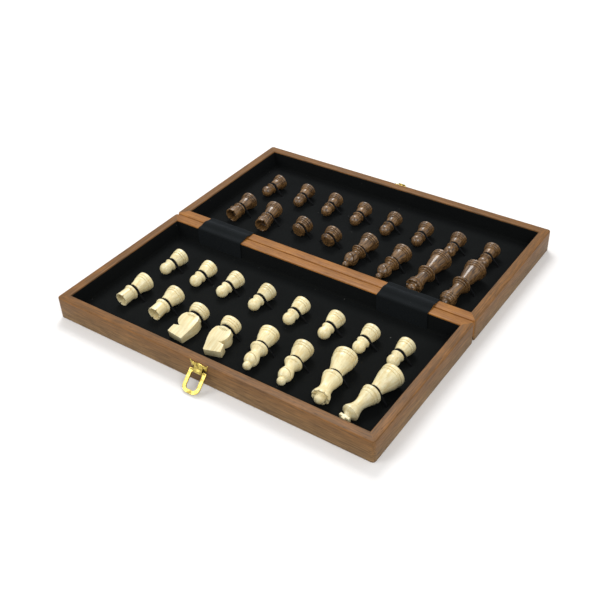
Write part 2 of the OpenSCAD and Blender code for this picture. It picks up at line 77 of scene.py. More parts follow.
def tone(red: int, green: int, blue: int) -> Color:
    """A screen colour, from 0 to 255 a channel, as linear light."""
    return tuple(((c / 255 + 0.055) / 1.055) ** 2.4 if c > 10 else c / 3294.6 for c in (red, green, blue))


# ---------------------------------------------------------------- shader building


class Nodes:
    """A short way to write a node tree."""

    def __init__(self, tree: bpy.types.NodeTree) -> None:
        """Keeps the tree.

        Args:
            tree: The material's or group's node tree.
        """
        self.tree = tree

    def add(self, kind: str, inputs: dict[str | int, object] | None = None, **settings: object) -> bpy.types.Node:
        """Adds one node.

        Args:
            kind: The node's type, without the ShaderNode prefix.
            inputs: A value, or a socket to link, for each named or numbered input.
            settings: The node's own properties.

        Returns:
            The new node.
        """
        node = self.tree.nodes.new("ShaderNode" + kind)
        for name, value in settings.items():
            setattr(node, name, value)
        for name, value in (inputs or {}).items():
            self.feed(node.inputs[name], value)
        return node

    def feed(self, socket: bpy.types.NodeSocket, value: object) -> None:
        """Links a socket to the input, or sets the input's own value."""
        if isinstance(value, bpy.types.NodeSocket):
            self.tree.links.new(value, socket)
        else:
            socket.default_value = value

    def math(self, operation: str, a: object, b: object = 0.0, clamp: bool = False) -> bpy.types.NodeSocket:
        """Adds a Math node and returns its result."""
        node = self.add("Math", {0: a, 1: b}, operation=operation, use_clamp=clamp)
        return node.outputs[0]

    def remap(self, value: object, low: float, high: float, to_low: float = 0.0, to_high: float = 1.0) -> bpy.types.NodeSocket:
        """Maps low..high to to_low..to_high, held at both ends."""
        node = self.add("MapRange", {"Value": value, "From Min": low, "From Max": high,
                                     "To Min": to_low, "To Max": to_high})
        return node.outputs["Result"]

    def mix(self, factor: object, a: object, b: object, blend: str = "MIX") -> bpy.types.NodeSocket:
        """Mixes two colours and returns the result."""
        node = self.add("Mix", data_type="RGBA", blend_type=blend)
        self.feed(node.inputs[0], factor)
        self.feed(node.inputs[6], a)
        self.feed(node.inputs[7], b)
        return node.outputs[2]

    def noise(self, vector: object, scale: float, detail: float = 3.0, roughness: float = 0.55,
              distortion: float = 0.0) -> bpy.types.NodeSocket:
        """Adds a Noise Texture and returns its value."""
        node = self.add("TexNoise", {"Vector": vector, "Scale": scale, "Detail": detail,
                                     "Roughness": roughness, "Distortion": distortion})
        return node.outputs[0]

    def stretch(self, vector: object, scale: tuple[float, float, float]) -> bpy.types.NodeSocket:
        """Scales a vector along its three axes."""
        node = self.add("VectorMath", {0: vector, 1: scale}, operation="MULTIPLY")
        return node.outputs[0]


class EffectGroup:
    """A shader node group that several materials share: it gives masks, colours and heights only."""

    def __init__(self, name: str, inputs: dict[str, float | tuple | None], outputs: dict[str, str],
                 build: Callable[[Nodes, bpy.types.Node], dict[str, object]]) -> None:
        """Builds the group once.

        Args:
            name: The group's name.
            inputs: Each input and its default; a tuple is a colour and None a vector.
            outputs: Each output and its socket type, Float, Color or Vector.
            build: Makes the inside from the group's inputs and returns a socket for each output.
        """
        self.tree = bpy.data.node_groups.new(name, "ShaderNodeTree")
        for key, default in inputs.items():
            kind = "Vector" if default is None else "Color" if isinstance(default, tuple) else "Float"
            socket = self.tree.interface.new_socket(name=key, in_out="INPUT", socket_type="NodeSocket" + kind)
            if default is not None:
                socket.default_value = default
        for key, kind in outputs.items():
            self.tree.interface.new_socket(name=key, in_out="OUTPUT", socket_type="NodeSocket" + kind)
        nodes = Nodes(self.tree)
        given = self.tree.nodes.new("NodeGroupInput")
        result = self.tree.nodes.new("NodeGroupOutput")
        for key, socket in build(nodes, given).items():
            nodes.feed(result.inputs[key], socket)

    def place(self, nodes: Nodes, **values: object) -> bpy.types.Node:
        """Places the group in a material; an underscore in a name stands for a space."""
        node = nodes.add("Group", node_tree=self.tree)
        for key, value in values.items():
            nodes.feed(node.inputs[key.replace("_", " ")], value)
        return node


def wood_figure_inside(n: Nodes, given: bpy.types.Node) -> dict[str, object]:
    """Long grain bands, fine fibre and open pores, all running along the vector's Z."""
    place = given.outputs["Vector"]
    drift = n.noise(n.stretch(place, (22.0, 22.0, 3.0)), 1.0, 2.0)
    shifted = n.add("VectorMath", {0: place, 1: n.add("CombineXYZ", {
        "X": n.math("MULTIPLY", drift, 0.012), "Y": n.math("MULTIPLY", drift, 0.017), "Z": 0.0}).outputs[0]},
        operation="ADD").outputs[0]
    bands = n.noise(n.stretch(shifted, (1.0, 1.0, 0.045)), given.outputs["Band Scale"], 3.0, 0.6)
    bands = n.remap(bands, 0.34, 0.66)
    fibre = n.noise(n.stretch(shifted, (1.0, 1.0, 0.03)), given.outputs["Fibre Scale"], 4.0, 0.65)
    pores = n.noise(n.stretch(shifted, (1.0, 1.0, 0.07)), given.outputs["Pore Scale"], 2.0, 0.5)
    pores = n.remap(pores, 0.62, 0.72)
    height = n.math("SUBTRACT", n.math("MULTIPLY", fibre, 0.35), n.math("MULTIPLY", pores, 0.8))
    return {"Bands": bands, "Fibre": n.remap(fibre, 0.3, 0.7), "Pores": pores, "Height": height}


def edge_wear_inside(n: Nodes, given: bpy.types.Node) -> dict[str, object]:
    """A broken line of wear along the edges that the Bevel normal finds."""
    rounded = n.add("Bevel", {"Radius": given.outputs["Radius"]}, samples=4)
    flat = n.add("NewGeometry")
    facing = n.add("VectorMath", {0: rounded.outputs[0], 1: flat.outputs["Normal"]}, operation="DOT_PRODUCT")
    edge = n.remap(facing.outputs["Value"], 0.995, 0.86)
    broken = n.noise(given.outputs["Vector"], 260.0, 4.0, 0.7)
    worn = n.math("MULTIPLY", edge, n.remap(broken, 0.35, 0.6), clamp=True)
    return {"Edge": edge, "Worn": worn}


def weave_inside(n: Nodes, given: bpy.types.Node) -> dict[str, object]:
    """A plain weave with uneven threads, and soft fuzz over it."""
    place = given.outputs["Vector"]
    wander = n.noise(place, 180.0, 3.0)
    moved = n.add("VectorMath", {0: place, 1: n.add("CombineXYZ", {
        "X": n.math("MULTIPLY", wander, 0.0008), "Y": n.math("MULTIPLY", wander, 0.0011), "Z": 0.0}).outputs[0]},
        operation="ADD").outputs[0]
    parts = n.add("SeparateXYZ", {0: moved})
    turns = n.math("MULTIPLY", given.outputs["Threads"], 2.0 * math.pi)
    across = n.math("SINE", n.math("MULTIPLY", parts.outputs["X"], turns))
    along = n.math("SINE", n.math("MULTIPLY", n.math("ADD", parts.outputs["Y"], parts.outputs["Z"]), turns))
    weave = n.math("MULTIPLY", across, along)
    fuzz = n.noise(place, 2600.0, 3.0, 0.7)
    blotch = n.noise(place, 34.0, 4.0, 0.6)
    height = n.math("ADD", n.math("MULTIPLY", weave, 0.35), n.math("MULTIPLY", fuzz, 0.9))
    return {"Weave": n.remap(weave, -1.0, 1.0), "Fuzz": fuzz, "Blotch": n.remap(blotch, 0.3, 0.7),
            "Height": height}


def lint_inside(n: Nodes, given: bpy.types.Node) -> dict[str, object]:
    """Rare pale specks of lint and dust."""
    cells = n.add("TexVoronoi", {"Vector": given.outputs["Vector"], "Scale": given.outputs["Scale"],
                                 "Randomness": 1.0}, feature="F1")
    size = n.noise(given.outputs["Vector"], 90.0, 1.0)
    speck = n.math("LESS_THAN", cells.outputs["Distance"], n.remap(size, 0.52, 0.75, 0.0, 0.085))
    return {"Specks": speck}


WOOD_FIGURE = EffectGroup(
    "wood_figure", {"Vector": None, "Band Scale": 420.0, "Fibre Scale": 2300.0, "Pore Scale": 2600.0},
    {"Bands": "Float", "Fibre": "Float", "Pores": "Float", "Height": "Float"}, wood_figure_inside)
EDGE_WEAR = EffectGroup(
    "edge_wear", {"Vector": None, "Radius": 0.0008}, {"Edge": "Float", "Worn": "Float"}, edge_wear_inside)
WEAVE = EffectGroup(
    "cloth_weave", {"Vector": None, "Threads": 1800.0},
    {"Weave": "Float", "Fuzz": "Float", "Blotch": "Float", "Height": "Float"}, weave_inside)
LINT = EffectGroup("lint", {"Vector": None, "Scale": 110.0}, {"Specks": "Float"}, lint_inside)

GRAIN_ATTRIBUTE = "grain_place"
# The mark: a warmer accent on the rails' rims, and painted shade in the lining's slits.
MARK_ATTRIBUTE = "mark"


def opaque(color: Color) -> tuple[float, float, float, float]:
    """A colour with full alpha."""
    return (*color, 1.0)


def new_material(name: str) -> tuple[bpy.types.Material, Nodes, bpy.types.Node]:
    """A material with one Principled BSDF.

    Returns:
        The material, its nodes and its shader.
    """
    material = bpy.data.materials.new(name)
    material.use_nodes = True
    nodes = Nodes(material.node_tree)
    return material, nodes, material.node_tree.nodes["Principled BSDF"]


@dataclass(frozen=True)
class Wood:
    """A wood finish: two grain tones, an accent where it is marked, pores, polish and worn edges."""

    name: str
    light: Color
    dark: Color
    pore: Color
    worn: Color
    accent: Color | None = None
    roughness: float = 0.42
    coat: float = 0.25
    coat_roughness: float = 0.25
    band_scale: float = 420.0
    fibre_scale: float = 2300.0
    pore_strength: float = 0.55
    band_contrast: float = 0.8
    bump: float = 0.25
    wear: float = 0.5
    edge_radius: float = 0.0006
    specular: float = 0.5

    def material(self) -> bpy.types.Material:
        """Builds the material; the grain runs along Z of the mesh's grain_place."""
        material, n, shader = new_material(self.name)
        place = n.add("Attribute", attribute_name=GRAIN_ATTRIBUTE).outputs["Vector"]
        figure = WOOD_FIGURE.place(n, Vector=place, Band_Scale=self.band_scale, Fibre_Scale=self.fibre_scale)
        edge = EDGE_WEAR.place(n, Vector=place, Radius=self.edge_radius)
        light = opaque(self.light)
        if self.accent is not None:
            mark = n.add("Attribute", attribute_name=MARK_ATTRIBUTE).outputs["Fac"]
            light = n.mix(mark, light, opaque(self.accent))
        base = n.mix(n.math("MULTIPLY", figure.outputs["Bands"], self.band_contrast), light, opaque(self.dark))
        base = n.mix(n.math("MULTIPLY", figure.outputs["Fibre"], 0.3), base, opaque(self.dark))
        pores = n.math("MULTIPLY", figure.outputs["Pores"], self.pore_strength)
        base = n.mix(pores, base, opaque(self.pore))
        blotch = n.remap(n.noise(place, 45.0, 3.0), 0.3, 0.7, 0.85, 1.12)
        base = n.mix(1.0, base, n.add("CombineColor", {0: blotch, 1: blotch, 2: blotch}).outputs[0], "MULTIPLY")
        base = n.mix(n.math("MULTIPLY", edge.outputs["Worn"], self.wear), base, opaque(self.worn))
        n.feed(shader.inputs["Base Color"], base)
        rough = n.remap(figure.outputs["Fibre"], 0.0, 1.0, self.roughness - 0.06, self.roughness + 0.08)
        n.feed(shader.inputs["Roughness"], n.math("ADD", rough, n.math("MULTIPLY", pores, 0.15)))
        shader.inputs["Specular IOR Level"].default_value = self.specular
        shader.inputs["Coat Weight"].default_value = self.coat
        shader.inputs["Coat Roughness"].default_value = self.coat_roughness
        bump = n.add("Bump", {"Height": figure.outputs["Height"], "Strength": self.bump, "Distance": 0.00012})
        n.feed(shader.inputs["Normal"], bump.outputs[0])
        return material


@dataclass(frozen=True)
class Cloth:
    """A cloth finish with its weave, fuzz and lint."""

    name: str
    color: Color
    raised: Color
    threads: float = 1500.0
    sheen: float = 0.25
    bump: float = 0.5
    lint: float = 0.35

    def material(self) -> bpy.types.Material:
        """Builds the material; the mark darkens it to near black with painted shade, at the slits in the lining."""
        material, n, shader = new_material(self.name)
        place = n.add("Attribute", attribute_name=GRAIN_ATTRIBUTE).outputs["Vector"]
        mark = n.add("Attribute", attribute_name=MARK_ATTRIBUTE).outputs["Fac"]
        weave = WEAVE.place(n, Vector=place, Threads=self.threads)
        lint = LINT.place(n, Vector=place, Scale=150.0)
        tone = n.math("MULTIPLY", weave.outputs["Weave"], 0.45)
        tone = n.math("ADD", tone, n.math("MULTIPLY", weave.outputs["Blotch"], 0.4), clamp=True)
        base = n.mix(tone, opaque(self.color), opaque(self.raised))
        # Painted shade: the mark darkens the cloth to near black in the slits' mouths.
        base = n.mix(n.math("MULTIPLY", mark, 0.85), base, (0.0015, 0.0015, 0.002, 1.0))
        base = n.mix(n.math("MULTIPLY", lint.outputs["Specks"], self.lint), base, (0.35, 0.34, 0.32, 1.0))
        n.feed(shader.inputs["Base Color"], base)
        n.feed(shader.inputs["Roughness"], n.remap(weave.outputs["Fuzz"], 0.3, 0.7, 0.82, 0.98))
        shader.inputs["Sheen Weight"].default_value = self.sheen
        shader.inputs["Sheen Roughness"].default_value = 0.45
        shader.inputs["Sheen Tint"].default_value = (0.55, 0.65, 0.8, 1.0)
        shader.inputs["Specular IOR Level"].default_value = 0.12
        bump = n.add("Bump", {"Height": weave.outputs["Height"], "Strength": self.bump, "Distance": 0.00018})
        n.feed(shader.inputs["Normal"], bump.outputs[0])
        return material


@dataclass(frozen=True)
class Brass:
    """A stamped brass finish with tarnish, scratches and bright edges."""

    name: str
    bright: Color
    tarnish: Color
    roughness: float = 0.24
    tarnish_amount: float = 0.5

    def material(self) -> bpy.types.Material:
        """Builds the material."""
        material, n, shader = new_material(self.name)
        place = n.add("TexCoord").outputs["Object"]
        edge = EDGE_WEAR.place(n, Vector=place, Radius=0.0004)
        cloud = n.remap(n.noise(place, 330.0, 5.0, 0.65), 0.42, 0.68)
        scratch = n.remap(n.noise(n.stretch(place, (60.0, 900.0, 3200.0)), 1.0, 2.0), 0.55, 0.7)
        stained = n.math("MULTIPLY", cloud, self.tarnish_amount)
        stained = n.math("SUBTRACT", stained, edge.outputs["Worn"], clamp=True)
        n.feed(shader.inputs["Base Color"], n.mix(stained, opaque(self.bright), opaque(self.tarnish)))
        rough = n.math("ADD", n.math("MULTIPLY", cloud, 0.18), n.math("MULTIPLY", scratch, 0.08))
        n.feed(shader.inputs["Roughness"], n.math("ADD", rough, self.roughness))
        shader.inputs["Metallic"].default_value = 1.0
        bump = n.add("Bump", {"Height": n.math("ADD", scratch, cloud), "Strength": 0.18, "Distance": 0.00006})
        n.feed(shader.inputs["Normal"], bump.outputs[0])
        return material


class Finish(Enum):
    """Every finish of the chess case."""

    RAIL = Wood("walnut_rail", tone(150, 120, 78), tone(84, 60, 34), tone(46, 31, 18), tone(156, 116, 70),
                accent=tone(140, 94, 44), roughness=0.52, coat=0.05, band_scale=1150.0, fibre_scale=3000.0,
                pore_strength=0.75, band_contrast=0.85, bump=0.35, specular=0.25)
    HINGE_WALL = Wood("hinge_wall_wood", tone(166, 112, 48), tone(120, 72, 26), tone(80, 46, 18),
                      tone(180, 128, 64), roughness=0.5, coat=0.06, band_scale=1150.0, fibre_scale=3000.0,
                      pore_strength=0.7, specular=0.25)
    PANEL = Wood("panel_wood", tone(140, 96, 54), tone(98, 62, 32), tone(62, 38, 20), tone(166, 120, 74),
                 coat=0.2, roughness=0.42, band_scale=640.0)
    DARK_SQUARE = Wood("dark_square_veneer", tone(92, 60, 36), tone(58, 36, 22), tone(32, 19, 12),
                       tone(112, 78, 50), roughness=0.4, coat=0.2, band_scale=640.0)
    LIGHT_SQUARE = Wood("light_square_veneer", tone(214, 180, 126), tone(190, 150, 96), tone(150, 110, 66),
                        tone(220, 190, 142), roughness=0.4, coat=0.2, band_scale=640.0, pore_strength=0.3)
    BOXWOOD = Wood("boxwood", tone(246, 240, 200), tone(222, 196, 132), tone(176, 146, 84),
                   tone(252, 247, 224), roughness=0.36, coat=0.35, coat_roughness=0.2, band_scale=520.0,
                   pore_strength=0.42, band_contrast=0.75, bump=0.2, wear=0.35)
    STAINED = Wood("stained_wood", tone(150, 112, 66), tone(44, 28, 18), tone(22, 14, 9),
                   tone(160, 124, 80), roughness=0.34, coat=0.5, coat_roughness=0.14, band_scale=900.0,
                   pore_strength=0.6, band_contrast=1.0, bump=0.2, wear=0.45)
    LINING = Cloth("lining_cloth", tone(6, 8, 8), tone(14, 16, 15), threads=1300.0, sheen=0.04)
    COVER = Cloth("cover_cloth", tone(10, 13, 14), tone(18, 22, 24), threads=1100.0, sheen=0.07, lint=0.2)
    ELASTIC = Cloth("elastic_braid", tone(7, 7, 8), tone(20, 20, 21), threads=2100.0, sheen=0.05,
                    bump=0.8, lint=0.0)
    BRASS = Brass("clasp_brass", tone(214, 192, 104), tone(104, 84, 32), 0.22, 0.8)
    HINGE_BRASS = Brass("hinge_brass", tone(205, 176, 100), tone(128, 98, 48), 0.34, 0.7)


# ---------------------------------------------------------------- outlines and solids, in millimetres


def curve(points: Sequence[Point], steps: int = 4) -> list[Point]:
    """A smooth line through the points that doesn't overshoot on uneven spacing.

    Args:
        points: What the line passes through.
        steps: Pieces between two points.

    Returns:
        The line's points.
    """
    given = [np.array(p, float) for p in points]
    given = [2 * given[0] - given[1], *given, 2 * given[-1] - given[-2]]
    line: list[Point] = []
    for a, b, c, d in zip(given, given[1:], given[2:], given[3:]):
        ta, tb, tc = (math.sqrt(max(np.linalg.norm(q - p), 1e-6)) for p, q in ((a, b), (b, c), (c, d)))
        t1, t2, t3 = ta, ta + tb, ta + tb + tc
        for k in range(steps):
            t = t1 + (t2 - t1) * k / steps
            p1 = a * (t1 - t) / t1 + b * t / t1
            p2 = b * (t2 - t) / (t2 - t1) + c * (t - t1) / (t2 - t1)
            p3 = c * (t3 - t) / (t3 - t2) + d * (t - t2) / (t3 - t2)
            q1 = p1 * (t2 - t) / t2 + p2 * t / t2
            q2 = p2 * (t3 - t) / (t3 - t1) + p3 * (t - t1) / (t3 - t1)
            line.append(tuple(q1 * (t2 - t) / (t2 - t1) + q2 * (t - t1) / (t2 - t1)))
    line.append(tuple(points[-1]))
    return line


def bead(start: float, end: float, low: float, high: float, steps: int = 7) -> list[Point]:
    """The outline of a turned ring between two places on the axis."""
    middle, half = (start + end) / 2, (end - start) / 2
    return [(middle - half * math.cos(math.pi * k / steps), low + (high - low) * math.sin(math.pi * k / steps))
            for k in range(steps + 1)]


def ball(centre: float, radius: float, neck: float, steps: int = 14) -> list[Point]:
    """The outline of a ball, from where it leaves a neck to its top."""
    first = math.asin(min(neck / radius, 1.0))
    angles = [first + (math.pi - first) * k / steps for k in range(steps + 1)]
    return [(centre - radius * math.cos(a), max(radius * math.sin(a), 0.0)) for a in angles]


class Solid:
    """A mesh being made, in millimetres."""

    def __init__(self, vertices: Sequence, faces: Sequence) -> None:
        """Makes the mesh from its points and faces."""
        self.mesh = bpy.data.meshes.new("solid")
        self.mesh.from_pydata([tuple(map(float, v)) for v in vertices], [], faces)
        self.mesh.validate()
        self.work(lambda b: bmesh.ops.recalc_face_normals(b, faces=b.faces))

    def work(self, action: Callable[[bmesh.types.BMesh], object]) -> "Solid":
        """Does something to the mesh as a bmesh."""
        b = bmesh.new()
        b.from_mesh(self.mesh)
        action(b)
        b.to_mesh(self.mesh)
        b.free()
        return self

    def rounded(self, radius: float, segments: int = 3, angle: float = 30.0,
                only: Callable[[Vector, Vector], bool] | None = None) -> "Solid":
        """Rounds the edges that turn more than an angle.

        Args:
            radius: Width of the rounding.
            segments: Steps across it.
            angle: Smallest turn, in degrees, of an edge that is rounded.
            only: Says from an edge's two ends whether it is rounded.

        Returns:
            The same solid.
        """
        def action(b: bmesh.types.BMesh) -> None:
            edges = [e for e in b.edges if len(e.link_faces) == 2 and math.degrees(e.calc_face_angle()) > angle
                     and (only is None or only(e.verts[0].co, e.verts[1].co))]
            bmesh.ops.bevel(b, geom=edges, offset=radius, segments=segments, profile=0.5, affect="EDGES",
                            clamp_overlap=True)
        return self.work(action)

    def combined(self, other: "Solid", operation: str) -> "Solid":
        """Joins the other solid on, or cuts it out.

        Args:
            other: The second solid.
            operation: UNION or DIFFERENCE.

        Returns:
            The same solid.
        """
        pair = [bpy.data.objects.new("working", s.mesh) for s in (self, other)]
        for each in pair:
            bpy.context.scene.collection.objects.link(each)
        step = pair[0].modifiers.new("join", "BOOLEAN")
        step.operation, step.solver, step.object = operation, "EXACT", pair[1]
        bpy.context.view_layer.update()
        made = pair[0].evaluated_get(bpy.context.evaluated_depsgraph_get())
        mesh = bpy.data.meshes.new_from_object(made)
        for each in pair:
            bpy.data.objects.remove(each)
        self.mesh = mesh
        return self.work(lambda b: bmesh.ops.dissolve_degenerate(b, dist=0.002, edges=b.edges))

    def added(self, other: "Solid") -> "Solid":
        """Puts the other solid into the same mesh, as a part of its own."""
        b = bmesh.new()
        b.from_mesh(self.mesh)
        b.from_mesh(other.mesh)
        b.to_mesh(self.mesh)
        b.free()
        return self

    def moved(self, matrix: Matrix) -> "Solid":
        """Moves or turns the solid."""
        self.mesh.transform(matrix)
        return self

    def bent(self, change: Callable[[Vector], tuple[float, float, float]]) -> "Solid":
        """Moves every point by a rule."""
        for vertex in self.mesh.vertices:
            vertex.co = change(vertex.co)
        return self


def lathe(outline: Sequence[Point], segments: int = 72,
          shape: Callable[[float, float, float], Point] | None = None) -> Solid:
    """Turns an outline of (place on the axis, radius) round Z.

    Args:
        outline: From the base up; an end with a radius is closed flat.
        segments: Steps round the axis.
        shape: Changes a point by its angle round the axis.

    Returns:
        The closed solid.
    """
    line = list(outline)
    if line[0][1] > 0:
        line = [(line[0][0], 0.0), *line]
    if line[-1][1] > 0:
        line = [*line, (line[-1][0], 0.0)]
    vertices: list[tuple[float, float, float]] = [(0.0, 0.0, line[0][0])]
    for along, radius in line[1:-1]:
        for k in range(segments):
            angle = 2 * math.pi * k / segments
            s, r = shape(along, radius, angle) if shape else (along, radius)
            vertices.append((r * math.cos(angle), r * math.sin(angle), s))
    top = len(vertices)
    vertices.append((0.0, 0.0, line[-1][0]))
    rings = len(line) - 2
    faces: list[tuple[int, ...]] = []
    for k in range(segments):
        after = (k + 1) % segments
        faces.append((0, 1 + after, 1 + k))
        for ring in range(rings - 1):
            a, b = 1 + ring * segments, 1 + (ring + 1) * segments
            faces.append((a + k, a + after, b + after, b + k))
        last = 1 + (rings - 1) * segments
        faces.append((last + k, last + after, top))
    return Solid(vertices, faces)


def prism(outline: Sequence[Point], low: float, high: float, axis: str) -> Solid:
    """A flat outline, thickened along one axis.

    Args:
        outline: Points in the plane of the two other axes, in their order.
        low: Where it starts on the axis.
        high: Where it ends.
        axis: x, y or z.

    Returns:
        The closed solid.
    """
    place = {"x": lambda p, t: (t, p[0], p[1]), "y": lambda p, t: (p[0], t, p[1]),
             "z": lambda p, t: (p[0], p[1], t)}[axis]
    count = len(outline)
    vertices = [place(p, t) for t in (low, high) for p in outline]
    sides = [(k, (k + 1) % count, count + (k + 1) % count, count + k) for k in range(count)]
    return Solid(vertices, [tuple(range(count)), tuple(range(count, 2 * count)), *sides])


def block(low: Sequence[float], high: Sequence[float]) -> Solid:
    """A box between two corners."""
    return prism([(low[0], low[1]), (high[0], low[1]), (high[0], high[1]), (low[0], high[1])], low[2], high[2], "z")


def swept(sections: Sequence[Sequence], closed_ends: bool = True) -> Solid:
    """A skin through sections of the same number of points, each a closed ring."""
    size = len(sections[0])
    vertices = [p for section in sections for p in section]
    faces: list[tuple[int, ...]] = []
    for j in range(len(sections) - 1):
        a, b = j * size, (j + 1) * size
        faces += [(a + k, a + (k + 1) % size, b + (k + 1) % size, b + k) for k in range(size)]
    if closed_ends:
        faces += [tuple(range(size)), tuple(range(len(vertices) - size, len(vertices)))]
    return Solid(vertices, faces)


class Workshop:
    """Turns finished solids into pieces of the frame and keeps one material for each finish."""

    def __init__(self) -> None:
        """Builds every material once."""
        self.materials = {finish: finish.value.material() for finish in Finish}

    def show(self, name: str, solid: Solid, finish: Finish, body: str | None, replaces: Sequence[str] = (),
             place: Matrix | None = None, grain: str = "xyz", seed: float = 0.0, sharp: float = 32.0,
             mark: Callable[[Vector], float] | None = None) -> bpy.types.Object:
        """Makes one piece.

        Args:
            name: The piece's name.
            solid: Its mesh, in millimetres.
            finish: Its material.
            body: The body that it rides on, or None for a piece that rides on none.
            replaces: The CAD nodes that it stands for.
            place: Where it goes from the place where it was made, in millimetres.
            grain: The mesh axes that become the grain's X, Y and Z; the grain runs along the last.
            seed: Shifts the grain, so that two pieces differ.
            sharp: Edges that turn more than this stay crisp.
            mark: Gives each point's mark, from 0 to 1.

        Returns:
            The piece.
        """
        mesh = solid.mesh
        points = np.empty(len(mesh.vertices) * 3, np.float32)
        mesh.vertices.foreach_get("co", points)
        points = points.reshape(-1, 3)
        order = ["xyz".index(a) for a in grain]
        shifted = points[:, order] * MM + np.array([0.37 * seed, 0.53 * seed, 0.29 * seed], np.float32)
        grain_field = mesh.attributes.new(GRAIN_ATTRIBUTE, "FLOAT_VECTOR", "POINT")
        grain_field.data.foreach_set("vector", shifted.astype(np.float32).ravel())
        if mark is not None:
            marks = mesh.attributes.new(MARK_ATTRIBUTE, "FLOAT", "POINT")
            marks.data.foreach_set("value", np.array([mark(Vector(p)) for p in points], np.float32))
        mesh.transform(Matrix.Scale(MM, 4) @ (place or Matrix.Identity(4)))
        mesh.shade_smooth()
        mesh.set_sharp_from_angle(angle=math.radians(sharp))
        mesh.name = name
        piece = bpy.data.objects.new(name, mesh)
        bpy.context.scene.collection.objects.link(piece)
        mesh.materials.clear()
        mesh.materials.append(self.materials[finish])
        if body is not None:
            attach(piece, body)
        if replaces:
            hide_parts(*replaces)
        LOG.info("%s: %d points, %s", name, len(mesh.vertices), finish.value.name)
        return piece

    def dress(self, node: str, finish: Finish, grain: str = "xyz", seed: float = 0.0) -> None:
        """Gives a CAD node that stays its finish and its grain."""
        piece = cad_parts[node]
        mesh = piece.data
        points = np.empty(len(mesh.vertices) * 3, np.float32)
        mesh.vertices.foreach_get("co", points)
        order = ["xyz".index(a) for a in grain]
        shifted = points.reshape(-1, 3)[:, order] + np.float32(0.37 * seed)
        grain_field = mesh.attributes.new(GRAIN_ATTRIBUTE, "FLOAT_VECTOR", "POINT")
        grain_field.data.foreach_set("vector", shifted.astype(np.float32).ravel())
        mesh.materials.clear()
        mesh.materials.append(self.materials[finish])
        LOG.info("%s: kept, %s", node, finish.value.name)


# ---------------------------------------------------------------- the case


